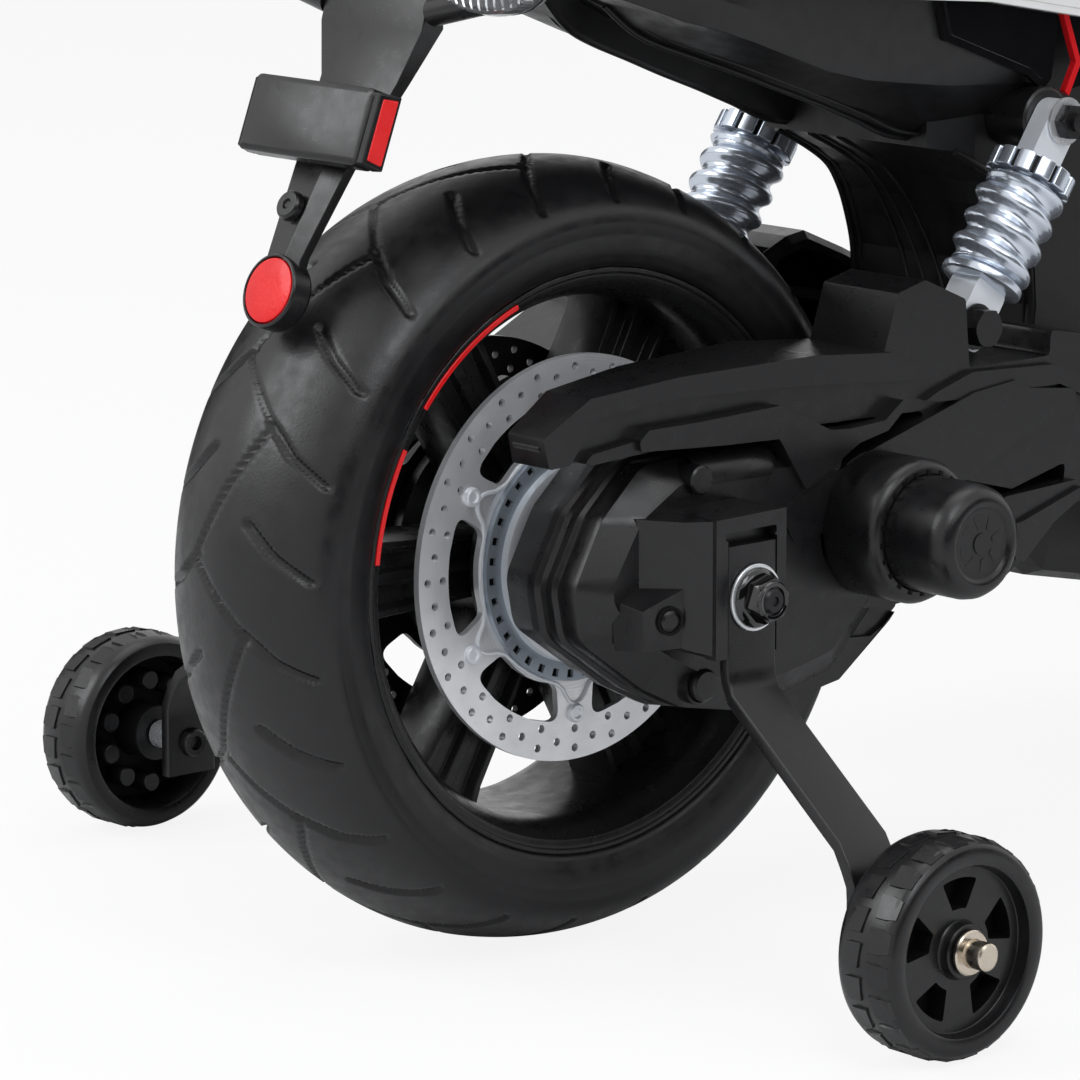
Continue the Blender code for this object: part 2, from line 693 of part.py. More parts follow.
def build_drive():
    centre = Vector((0.020, AXLE_DATUM))
    shape = [
        (-0.060, 0.150),
        (-0.052, 0.177),
        (-0.030, 0.194),
        (0.010, 0.197),
        (0.060, 0.196),
        (0.092, 0.190),
        (0.106, 0.165),
        (0.103, 0.130),
        (0.075, 0.104),
        (0.030, 0.094),
        (-0.010, 0.098),
        (-0.042, 0.117),
    ]
    smoothed = rounded(shape, 0.012, 1)

    def ring(y, scale):
        out = []
        for x, z in smoothed:
            point = centre + (Vector((x, z)) - centre) * scale
            out.append((point.x, -y, point.y))
        return out

    sections = [
        ring(HOUSING_INSIDE, 0.96),
        ring(HOUSING_INSIDE + 0.004, 1.0),
        ring(0.0690, 1.0),
        ring(0.0715, 0.94),
        ring(0.0880, 0.92),
        ring(HOUSING_OUTSIDE - 0.0035, 0.74),
    ]
    housing = put("drive_housing", loft_mesh(sections), "satin_black", CHASSIS)
    seal = rod_mesh(0.0330, (0.0, -0.0372, AXLE_DATUM), (0.0, -HOUSING_INSIDE - 0.002, AXLE_DATUM), ROUND_STEPS)
    join(housing, tool("drive_seal_boss", seal, CHASSIS))
    barrel = rod_mesh(
        MOTOR_RADIUS - 0.001, (MOTOR_X, -0.075, MOTOR_Z), (MOTOR_X, -HOUSING_OUTSIDE, MOTOR_Z), ROUND_STEPS
    )
    join(housing, tool("motor_barrel", barrel, CHASSIS))
    boss = box_mesh((-0.0360, -0.1060, 0.1330), (BLOCK_REAR + 0.004, -0.0860, 0.1500))
    join(housing, tool("screw_boss", boss, CHASSIS))
    plugs = together(
        rod_mesh(0.0062, (-0.002, -0.086, 0.1902), (-0.002, -0.1010, 0.1902), PIN_STEPS),
        rod_mesh(0.0070, (0.003, -0.080, 0.1115), (0.003, -0.1030, 0.1115), PIN_STEPS),
    )
    join(housing, tool("housing_plugs", plugs, CHASSIS))
    join(housing, tool("axle_block_right", block_mesh(-1), CHASSIS))
    cut(housing, tool("bar_channel_right", channel_mesh(-1), CHASSIS))
    bore = rod_mesh(AXLE_RADIUS + GAP, (0.0, -0.14, AXLE_DATUM), (0.0, -0.03, AXLE_DATUM), SMALL_STEPS)
    cut(housing, tool("housing_bore", bore, CHASSIS))
    hollow = rod_mesh(
        MOTOR_BODY_RADIUS + GAP, (MOTOR_X, -0.0600, MOTOR_Z), (MOTOR_X, -0.12, MOTOR_Z), ROUND_STEPS
    )
    cut(housing, tool("motor_socket", hollow, CHASSIS))

    outer = [
        (0.0, MOTOR_CAP_END - 0.0010),
        (0.0130, MOTOR_CAP_END - 0.0010),
        (0.0145, MOTOR_CAP_END),
        (0.0185, MOTOR_CAP_END),
        (MOTOR_CAP_RADIUS, MOTOR_CAP_END - 0.0040),
        (MOTOR_CAP_RADIUS, MOTOR_COVER_END),
        (MOTOR_RADIUS - 0.0020, MOTOR_COVER_END),
        (MOTOR_RADIUS, MOTOR_COVER_END - 0.0030),
        (MOTOR_RADIUS, HOUSING_OUTSIDE + GAP),
        (MOTOR_BODY_RADIUS + GAP, HOUSING_OUTSIDE + GAP),
        (MOTOR_BODY_RADIUS + GAP, MOTOR_COVER_END - 0.0100),
        (0.0, MOTOR_COVER_END - 0.0100),
    ]
    place = (MOTOR_X, 0.0, MOTOR_Z)
    turned("motor_cover", outer, "satin_black", CHASSIS, place, ALONG_RIGHT, ROUND_STEPS, closed=False)
    motor = [
        (0.0, MOTOR_COVER_END - 0.0103),
        (MOTOR_BODY_RADIUS, MOTOR_COVER_END - 0.0103),
        (MOTOR_BODY_RADIUS, 0.0603),
        (0.0, 0.0603),
    ]
    turned("drive_motor", motor, "zinc", CHASSIS, (MOTOR_X, 0.0, MOTOR_Z), ALONG_RIGHT, SMALL_STEPS, closed=False)


def block_mesh(side):
    """The square block outside the arm or housing, whose channel holds the stabiliser's bar."""
    near = side * (ARM_OUTSIDE - 0.006)
    far = side * BLOCK_OUTSIDE
    low = (BLOCK_REAR, min(near, far), BLOCK_BOTTOM)
    high = (BLOCK_FRONT, max(near, far), BLOCK_TOP)
    return box_mesh(low, high)


def channel_mesh(side):
    near = side * (BLOCK_OUTSIDE - BAR_THICK - GAP)
    far = side * (BLOCK_OUTSIDE + 0.01)
    low = (BAR_MIDDLE_X - BAR_WIDTH / 2 - GAP, min(near, far), BLOCK_BOTTOM - 0.01)
    high = (BAR_MIDDLE_X + BAR_WIDTH / 2 + GAP, max(near, far), BAR_TOP + 0.0045)
    return box_mesh(low, high)


def arm_pocket(side):
    """The open-topped pocket for a shock absorber's foot, the room for its flange, and its stud."""
    near = side * (SHOCK_Y - CLEVIS_WIDTH / 2 - GAP)
    far = side * (ARM_OUTSIDE + 0.02)
    low = (SHOCK_FOOT_X - 0.0150, min(near, far), SHOCK_FOOT_Z - 0.0125)
    high = (SHOCK_FOOT_X + 0.0290, max(near, far), SHOCK_FOOT_Z + 0.06)
    pocket = box_mesh(low, high)
    inner = side * (SHOCK_Y - FLANGE_RADIUS - 2 * GAP)
    room_low = (low[0], min(inner, far), SHOCK_FOOT_Z + 0.0045)
    room = box_mesh(room_low, (high[0], max(inner, far), high[2]))
    stud = rod_mesh(
        BOLT_RADIUS,
        (SHOCK_FOOT_X, side * (ARM_INSIDE + 0.003), SHOCK_FOOT_Z),
        (SHOCK_FOOT_X, side * (SHOCK_Y + CLEVIS_WIDTH / 2), SHOCK_FOOT_Z),
        PIN_STEPS,
    )
    return pocket, room, stud


def build_swingarms():
    window = [
        (0.132, 0.146),
        (0.134, 0.168),
        (0.170, 0.178),
        (0.206, 0.182),
        (0.196, 0.168),
        (0.165, 0.152),
    ]
    right = [
        (-0.083, 0.2125),
        (-0.057, 0.2265),
        (-0.012, 0.2295),
        (0.056, 0.2300),
        (0.096, 0.2260),
        (0.1035, 0.2500),
        (0.1180, 0.2535),
        (0.1460, 0.2420),
        (0.1650, 0.2300),
        (0.2150, 0.2220),
        (0.2620, 0.2090),
        (0.2680, 0.1850),
        (0.2550, 0.1680),
        (0.2090, 0.1530),
        (0.1750, 0.1340),
        (0.1200, 0.1180),
        (0.1165, 0.2015),
        (-0.0700, 0.2015),
    ]
    shape = outline_mesh([right, list(reversed(window))], -ARM_OUTSIDE, -ARM_INSIDE)
    arm = put("swingarm_right", shape, "satin_black", CHASSIS)
    bevel(arm, 0.0030)
    strap = outline_mesh(
        [rounded([(0.040, 0.2135), (0.196, 0.2130), (0.200, 0.2205), (0.040, 0.2215)], 0.003, 2)],
        -ARM_OUTSIDE - 0.0040,
        -ARM_OUTSIDE + 0.0030,
    )
    join(arm, tool("arm_strap_right", strap, CHASSIS))
    panel = outline_mesh(
        [rounded([(0.122, 0.1780), (0.166, 0.2070), (0.186, 0.2000), (0.214, 0.2080), (0.206, 0.1880)], 0.003, 2)],
        -ARM_OUTSIDE - 0.0025,
        -ARM_OUTSIDE + 0.0030,
    )
    join(arm, tool("arm_panel_right", panel, CHASSIS))
    left = [
        (-0.024, 0.1300),
        (-0.026, 0.1700),
        (-0.010, 0.1860),
        (0.060, 0.2080),
        (0.096, 0.2260),
        (0.1035, 0.2500),
        (0.1180, 0.2535),
        (0.1460, 0.2420),
        (0.1650, 0.2350),
        (0.1800, 0.2370),
        (0.1960, 0.2440),
        (0.2060, 0.2455),
        (0.2280, 0.2364),
        (0.2520, 0.2250),
        (0.2700, 0.2080),
        (0.2760, 0.1880),
        (0.2550, 0.1680),
        (0.2090, 0.1530),
        (0.1200, 0.1280),
        (0.0600, 0.1200),
        (-0.006, 0.1180),
    ]
    shape = outline_mesh([left, list(reversed(window))], ARM_INSIDE, ARM_OUTSIDE)
    arm_left = put("swingarm_left", shape, "satin_black", CHASSIS)
    bevel(arm_left, 0.0030)
    upper = outline_mesh([ARM_POCKET_HIGH], ARM_INSIDE - 0.010, ARM_OUTSIDE - ARM_WALL)
    cut(arm_left, tool("inner_pocket_high", upper, CHASSIS))
    lower = outline_mesh([ARM_POCKET_LOW], ARM_INSIDE - 0.010, ARM_OUTSIDE - ARM_WALL)
    cut(arm_left, tool("inner_pocket_low", lower, CHASSIS))
    join(arm_left, tool("axle_block_left", block_mesh(1), CHASSIS))
    cut(arm_left, tool("bar_channel_left", channel_mesh(1), CHASSIS))
    axle_bore = rod_mesh(AXLE_RADIUS + GAP, (0.0, 0.03, AXLE_DATUM), (0.0, 0.14, AXLE_DATUM), SMALL_STEPS)
    cut(arm_left, tool("left_arm_axle_bore", axle_bore, CHASSIS))
    for side, body in ((-1, arm), (1, arm_left)):
        pocket, room, stud = arm_pocket(side)
        cut(body, tool("shock_pocket_" + side_name(side), pocket, CHASSIS))
        cut(body, tool("flange_room_" + side_name(side), room, CHASSIS))
        join(body, tool("shock_stud_" + side_name(side), stud, CHASSIS))
        pivot = rod_mesh(
            PIVOT_RADIUS + GAP, (PIVOT_X, side * 0.03, PIVOT_Z), (PIVOT_X, side * 0.12, PIVOT_Z), SMALL_STEPS
        )
        cut(body, tool("pivot_bore_" + side_name(side), pivot, CHASSIS))
    reach = ARM_OUTSIDE + GAP
    bridge = [
        (0.0, reach + 0.0050),
        (PIVOT_RADIUS + 0.0020, reach + 0.0050),
        (PIVOT_RADIUS + 0.0040, reach + 0.0030),
        (PIVOT_RADIUS + 0.0040, reach),
        (PIVOT_RADIUS, reach),
        (PIVOT_RADIUS, -reach),
        (PIVOT_RADIUS + 0.0040, -reach),
        (PIVOT_RADIUS + 0.0040, -reach - 0.0030),
        (PIVOT_RADIUS + 0.0020, -reach - 0.0050),
        (0.0, -reach - 0.0050),
    ]
    turned("swingarm_pivot", bridge, "satin_black", CHASSIS, (PIVOT_X, 0.0, PIVOT_Z), ALONG_RIGHT, SMALL_STEPS, closed=False)


def build_axle_set():
    face = BLOCK_OUTSIDE + GAP
    nut_end = face + WASHER_THICK + NUT_THICK
    end = nut_end + AXLE_BEYOND_NUT
    axle = rod_mesh(AXLE_RADIUS, (0.0, -end, AXLE_DATUM), (0.0, end, AXLE_DATUM), SMALL_STEPS)
    put("rear_axle", axle, "zinc", CHASSIS)
    for side in (-1, 1):
        name = side_name(side)
        flats = [
            (NUT_RADIUS * math.cos(math.radians(a)), AXLE_DATUM + NUT_RADIUS * math.sin(math.radians(a)))
            for a in range(0, 360, 60)
        ]
        hole = arc(AXLE_RADIUS + GAP, 360, 0, SMALL_STEPS, (0.0, AXLE_DATUM))[:-1]
        low, high = sorted((side * (face + WASHER_THICK), side * nut_end))
        nut = put("axle_nut_" + name, outline_mesh([flats, hole], low, high), "black_steel", CHASSIS)
        ring = arc(WASHER_RADIUS, 0, 360, SMALL_STEPS, (0.0, AXLE_DATUM))[:-1]
        low, high = sorted((side * face, side * (face + WASHER_THICK + 0.0004)))
        join(nut, tool("nut_flange_" + name, outline_mesh([ring, hole], low, high), CHASSIS))


# Stabilisers

def build_stabiliser(side):
    name = side_name(side)
    inner_face = STAB_TRACK_HALF - STAB_HALF_WIDTH - RUNNING_GAP
    middle = inner_face - BAR_THICK / 2
    channel = BLOCK_OUTSIDE - BAR_THICK / 2
    route = [
        (BAR_MIDDLE_X, channel, BAR_TOP + LIFT),
        (BAR_MIDDLE_X, channel, BAR_BEND_Z + LIFT + 0.004),
        (BAR_MIDDLE_X, channel + 0.0035, BAR_BEND_Z + LIFT - 0.003),
        (STAB_X, middle - 0.0060, STAB_RADIUS + 0.0250),
        (STAB_X, middle, STAB_RADIUS + 0.0170),
        (STAB_X, middle, STAB_RADIUS - 0.0130),
    ]
    bm = bmesh.new()
    rows = []
    for x, y, z in route:
        rows.append([bm.verts.new((x - BAR_WIDTH / 2, side * y, z)), bm.verts.new((x + BAR_WIDTH / 2, side * y, z))])
    for a, b in zip(rows, rows[1:]):
        bm.faces.new((a[0], a[1], b[1], b[0]))
    mesh = bpy.data.meshes.new("bar")
    bm.to_mesh(mesh)
    bm.free()
    bar = put("stabiliser_arm_" + name, mesh, "satin_black", MACHINE)
    plate = bar.modifiers.new("thickness", "SOLIDIFY")
    plate.thickness = BAR_THICK
    plate.offset = 0.0
    plate.use_even_offset = True
    axle_bore = rod_mesh(
        AXLE_RADIUS + GAP, (0.0, side * 0.11, WHEEL_RADIUS), (0.0, side * 0.14, WHEEL_RADIUS), 20
    )
    cut(bar, tool("bar_axle_bore_" + name, axle_bore, MACHINE))
    pin_bore = rod_mesh(
        PIN_RADIUS + GAP, (STAB_X, side * 0.19, STAB_RADIUS), (STAB_X, side * 0.25, STAB_RADIUS), PIN_STEPS
    )
    cut(bar, tool("bar_pin_bore_" + name, pin_bore, MACHINE))

    half = STAB_HALF_WIDTH
    profile = [
        (PIN_RADIUS + GAP, 0.0122),
        (0.0100, 0.0122),
        (0.0100, 0.0085),
        (0.0290, 0.0075),
        (0.0310, 0.0131),
        (0.0375, 0.0131),
        (STAB_RADIUS - 0.0008, 0.0100),
        (STAB_RADIUS, 0.0050),
        (STAB_RADIUS, -0.0060),
        (STAB_RADIUS - 0.0008, -0.0110),
        (0.0375, -half),
        (0.0335, -half),
        (0.0310, -0.0010),
        (0.0115, -0.0005),
        (0.0115, -half),
        (PIN_RADIUS + GAP, -half),
    ]
    turn = ALONG_LEFT if side > 0 else ALONG_RIGHT
    place = holder("stabiliser_axis_" + name, (STAB_X, side * STAB_TRACK_HALF, STAB_RADIUS), MACHINE)
    wheel = turned("stabiliser_wheel_" + name, profile, "satin_black", place, turn=turn, steps=ROUND_STEPS)
    windows = []
    for i in range(5):
        loop = [
            (0.0135, -0.0030),
            (0.0270, -0.0085),
            (0.0280, 0.0),
            (0.0270, 0.0085),
            (0.0135, 0.0030),
        ]
        window = outline_mesh([loop], -0.03, 0.03)
        window.transform(Matrix.Rotation(i * math.tau / 5, 4, "Y"))
        windows.append(window)
    cut(wheel, tool("stabiliser_windows_" + name, together(*windows), place))

    inner = inner_face - BAR_THICK - GAP
    outer = STAB_TRACK_HALF + 0.0122 + RUNNING_GAP
    pin = [
        (0.0, inner - 0.0040),
        (0.0070, inner - 0.0040),
        (0.0070, inner),
        (PIN_RADIUS, inner),
        (PIN_RADIUS, outer),
        (0.0078, outer),
        (0.0078, outer + 0.0018),
        (0.0050, outer + 0.0022),
        (0.0050, outer + 0.0095),
        (0.0042, outer + 0.0103),
        (0.0, outer + 0.0103),
    ]
    foot = (STAB_X, 0.0, STAB_RADIUS)
    turned("stabiliser_pin_" + name, pin, "nickel", MACHINE, foot, turn, PIN_STEPS, closed=False)


# Shock absorbers

def shock_length():
    return math.hypot(SHOCK_EYE_X - SHOCK_FOOT_X, SHOCK_EYE_Z - SHOCK_FOOT_Z)


def build_shock(side):
    """A moulded strut: a foot, a flange, a barrel with a coil round it, a lobed collar and an eye."""
    name = side_name(side)
    lean = math.atan2(SHOCK_EYE_X - SHOCK_FOOT_X, SHOCK_EYE_Z - SHOCK_FOOT_Z)
    length = shock_length()
    place = holder("shock_axis_" + name, (SHOCK_FOOT_X, side * SHOCK_Y, SHOCK_FOOT_Z), CHASSIS, tilt=lean)
    barrel = [
        (0.0, 0.0180),
        (FLANGE_RADIUS, 0.0180),
        (FLANGE_RADIUS, FLANGE_TOP),
        (BARREL_RADIUS, 0.0235),
        (BARREL_RADIUS, 0.0715),
        (0.0, 0.0715),
    ]
    strut = turned("shock_" + name, barrel, "chrome", place, steps=SMALL_STEPS, closed=False)
    foot = outline_mesh(
        [[(0.0090, 0.0190)] + arc(0.0090, 0, -180, 6) + [(-0.0090, 0.0190)]],
        -CLEVIS_WIDTH / 2,
        CLEVIS_WIDTH / 2,
    )
    join(strut, tool("shock_foot_" + name, foot, place))
    eye = outline_mesh(
        [[(-0.0085, 0.0700)] + arc(0.0085, 180, 0, 6, (0.0, length)) + [(0.0085, 0.0700)]],
        -EYE_THICK / 2,
        EYE_THICK / 2,
    )
    join(strut, tool("shock_eye_" + name, eye, place))
    bores = together(
        rod_mesh(BOLT_RADIUS + GAP, (0.0, -0.02, 0.0), (0.0, 0.02, 0.0), PIN_STEPS),
        rod_mesh(BOLT_RADIUS + GAP, (0.0, -0.02, length), (0.0, 0.02, length), PIN_STEPS),
    )
    cut(strut, tool("shock_bores_" + name, bores, place))
    return place


def coil_route():
    """The centre line of a shock absorber's coil, turn above turn, and its least gap to itself."""
    per_turn = COIL_POINTS
    radius = (BARREL_RADIUS + GAP) / math.cos(math.pi / per_turn) + COIL_WIRE
    start = FLANGE_TOP + COIL_SEAT + COIL_WIRE
    points = []
    for i in range(int(COIL_TURNS * per_turn) + 1):
        angle = math.tau * i / per_turn
        height = start + COIL_PITCH * i / per_turn
        points.append(Vector((radius * math.cos(angle), radius * math.sin(angle), height)))
    gaps = []
    for i, point in enumerate(points):
        for other in points[i + per_turn // 2:]:
            gaps.append((other - point).length - 2 * COIL_WIRE)
    print("least gap of the coil to itself, mm:", round(min(gaps) * 1000, 2))
    return points


def build_shocks():
    for side in (-1, 1):
        place = build_shock(side)
        name = side_name(side)
        put("shock_spring_" + name, tube_mesh(coil_route(), COIL_WIRE), "chrome", place)
        lobes = []
        for i in range(24):
            angle = math.radians(i * 15)
            radius = COLLAR_RADIUS if i % 3 else COLLAR_RADIUS - COLLAR_NOTCH
            lobes.append((radius * math.cos(angle), radius * math.sin(angle)))
        hole = arc(BARREL_RADIUS + GAP, 360, 0, SMALL_STEPS)[:-1]
        ring = outline_mesh([lobes, hole], -COLLAR_HEIGHT / 2, COLLAR_HEIGHT / 2)
        ring.transform(Matrix.Translation((0.0, 0.0, COLLAR_MIDDLE)) @ Matrix.Rotation(math.pi / 2, 4, "X"))
        put("shock_collar_" + name, ring, "chrome", place)


# Body

def build_frame():
    """The lower body: one hollow moulding from the rear mudguard to the steering head."""
    stations = [
        (0.170, 0.235, 0.340, 0.0450),
        (0.192, 0.175, 0.352, 0.0500),
        (TAIL_FRONT_X + GAP, 0.130, TAIL_ROOF_Z - GAP, BODY_HALF_REAR),
        (TAIL_FRONT_X + 0.0010, 0.129, DECK_Z, BODY_HALF_REAR),
        (0.236, 0.113, DECK_Z, BODY_HALF_REAR),
        (0.300, 0.100, DECK_Z, BODY_HALF_REAR),
        (0.350, 0.098, DECK_Z, BODY_HALF_FRONT),
        (0.460, 0.100, DECK_Z, BODY_HALF_FRONT),
        (0.515, 0.118, DECK_Z, 0.0560),
        (0.547, 0.200, DECK_Z, 0.0440),
    ]
    frame = put("frame_body", body_loft(stations, 0.014), "matte_black", CHASSIS)
    cut(frame, tool("rear_arch", outline_mesh([REAR_ARCH], -0.08, 0.08), CHASSIS))
    for side in (-1, 1):
        near, far = sorted((side * RECESS_FLOOR, side * 0.080))
        hollow = outline_mesh([rounded(RECESS, RECESS_CORNER, 2)], near, far)
        cut(frame, tool("side_recess_" + side_name(side), hollow, CHASSIS))
        near, far = sorted((side * (RECESS_FLOOR - 0.002), side * FIN_FACE))
        fins = []
        for i in range(FIN_COUNT):
            z = FIN_LOW + FIN_PITCH * i
            lean = FIN_LEAN * (z - FIN_LOW)
            fins.append(box_mesh((FIN_REAR_X + lean, near, z), (FIN_FRONT_X, far, z + FIN_THICK)))
        join(frame, tool("fins_" + side_name(side), together(*fins), CHASSIS))
    head_z = HEAD_Z - LIFT
    neck_shape = [
        (0.5160, 0.380),
        (0.5460, 0.380),
        (0.5460, head_z - 0.040),
        (HEAD_X, head_z - 0.012),
        (HEAD_X - 0.014, head_z + 0.022),
        (0.5170, head_z + 0.004),
    ]
    neck = outline_mesh([neck_shape], -0.018, 0.018)
    join(frame, tool("neck", neck, CHASSIS))
    head = rod_mesh(HEAD_RADIUS, (0.0, 0.0, -HEAD_HALF), (0.0, 0.0, HEAD_HALF), SMALL_STEPS)
    join(frame, tool("head_tube", head, STEERING))
    head_bore = rod_mesh(STEM_RADIUS + GAP, (0.0, 0.0, -0.08), (0.0, 0.0, 0.08), SMALL_STEPS)
    cut(frame, tool("head_bore", head_bore, STEERING))
    bay = box_mesh((BAY_REAR_X, -BAY_HALF, BAY_FLOOR_Z), (BAY_FRONT_X, BAY_HALF, 0.5))
    cut(frame, tool("battery_bay", bay, CHASSIS))
    bridge = rod_mesh(PIVOT_RADIUS + GAP, (PIVOT_X, -0.1, PIVOT_Z), (PIVOT_X, 0.1, PIVOT_Z), SMALL_STEPS)
    cut(frame, tool("frame_pivot_bore", bridge, CHASSIS))

    x = BAY_FRONT_X - 0.004
    length, width, height = BATTERY_SIZE
    floor = BAY_FLOOR_Z + GAP
    battery = box_mesh((x - length, -width / 2, floor), (x, width / 2, floor + height))
    terminals = together(
        box_mesh((x - 0.020, -0.024, floor + height), (x - 0.012, -0.018, floor + height + 0.006)),
        box_mesh((x - 0.020, 0.018, floor + height), (x - 0.012, 0.024, floor + height + 0.006)),
    )
    terminals.transform(Matrix.Translation((0.0, 0.0, -0.001)))
    cell = put("battery", battery, "case_grey", CHASSIS)
    join(cell, tool("battery_terminals", terminals, CHASSIS))
    clear_of_pivot = PIVOT_X + PIVOT_RADIUS + 0.006
    length, width, height = CONTROLLER_SIZE
    controller = box_mesh((clear_of_pivot, -width / 2, floor), (clear_of_pivot + length, width / 2, floor + height))
    box = put("controller", controller, "case_grey", CHASSIS)
    bevel(box, 0.002)


def build_tail():
    stations = [
        (TAIL_FRONT_X, 0.290, DECK_Z, TAIL_HALF),
        (0.1500, 0.294, DECK_Z, TAIL_HALF),
        (0.0900, 0.299, DECK_Z, TAIL_HALF),
        (0.0300, 0.326, DECK_Z, TAIL_HALF),
        (-0.0280, 0.352, DECK_Z, 0.0600),
        (-0.0305, 0.356, DECK_Z, 0.0590),
        (-0.0345, 0.3645, DECK_Z + 0.005, 0.0580),
        (TAIL_END_X, TAIL_END_LOW, DECK_Z + 0.030, 0.0480),
    ]
    tail = put("tail_cowl", body_loft(stations, 0.012), "matte_black", CHASSIS)
    arch = box_mesh((-0.03, -0.048, 0.20), (0.160, 0.048, 0.3800))
    cut(tail, tool("wheel_arch", arch, CHASSIS))
    socket = box_mesh((0.1550, -BODY_HALF_REAR - GAP, 0.20), (TAIL_FRONT_X + 0.01, BODY_HALF_REAR + GAP, TAIL_ROOF_Z))
    cut(tail, tool("body_socket", socket, CHASSIS))
    mounts = []
    for side in (-1, 1):
        mounts.append(
            rod_mesh(
                0.0125,
                (SHOCK_EYE_X, side * (BODY_HALF_REAR + 2 * GAP), SHOCK_EYE_Z),
                (SHOCK_EYE_X, side * (SHOCK_Y - EYE_THICK / 2 - GAP), SHOCK_EYE_Z),
                20,
            )
        )
    join(tail, tool("shock_mounts", together(*mounts), CHASSIS))
    studs = []
    for side in (-1, 1):
        studs.append(
            rod_mesh(
                BOLT_RADIUS,
                (SHOCK_EYE_X, side * 0.0630, SHOCK_EYE_Z),
                (SHOCK_EYE_X, side * (SHOCK_Y + EYE_THICK / 2), SHOCK_EYE_Z),
                12,
            )
        )
    join(tail, tool("shock_mount_studs", together(*studs), CHASSIS))


def side_plate(name, points, near, far, finish, side, corner=0.008, edge=0.0015):
    """A flat moulded panel on one side of the machine."""
    low, high = sorted((side * near, side * far))
    panel = put(name + "_" + side_name(side), outline_mesh([rounded(points, corner, 2)], low, high), finish, CHASSIS)
    bevel(panel, edge)
    return panel


def build_side_panels():
    near = TAIL_HALF + GAP
    for side in (-1, 1):
        panel = [
            (0.1180, 0.3550),
            (0.1500, 0.3370),
            (0.2130, 0.3160),
            (0.2700, 0.3180),
            (0.2860, 0.3560),
        ]
        side_plate("side_panel", panel, near, near + PANEL_THICK, "gloss_black", side)
        cover = [
            (-0.0500, 0.3960),
            (-0.0300, 0.3800),
            (0.1180, 0.3565),
            (0.2900, 0.3575),
            (0.4200, 0.3300),
            (0.5000, 0.3260),
            (0.4950, 0.3960),
        ]
        cover = [(x, min(z, DECK_Z)) for x, z in cover]
        side_plate("body_cover", cover, near, near + COVER_THICK, "body_white", side, 0.010)


def build_seat():
    """A padded saddle: crowned, drawn in at the sides, narrow at the nose, with two sewn channels."""
    base = DECK_Z + GAP
    stations = []
    count = 13
    for i in range(count):
        t = i / (count - 1)
        x = SEAT_BACK_X + (SEAT_FRONT_X - SEAT_BACK_X) * t
        half = SEAT_HALF * (0.72 + 0.28 * math.sin(math.pi * min(1.0, (1 - t) * 1.15) ** 0.8))
        half *= 1.0 - 0.30 * max(0.0, t - 0.55) / 0.45
        lift = SEAT_THICK * (0.80 + 0.28 * (1 - t) ** 2)
        if i in (0, count - 1):
            half *= 0.86
            lift *= 0.62
        if i in (4, 8):
            lift -= 0.0035
        stations.append((x, half, lift))
    sections = []
    for x, half, lift in stations:
        section = [
            (-half * 0.90, 0.0),
            (-half, lift * 0.22),
            (-half * 0.95, lift * 0.62),
            (-half * 0.74, lift * 0.90),
            (-half * 0.36, lift * 1.0),
            (0.0, lift * 1.02),
        ]
        full = section + [(-y, z) for y, z in reversed(section[:-1])]
        sections.append([(x, y, base + z) for y, z in full])
    seat = put("seat", loft_mesh(sections), "vinyl_black", CHASSIS)
    return seat


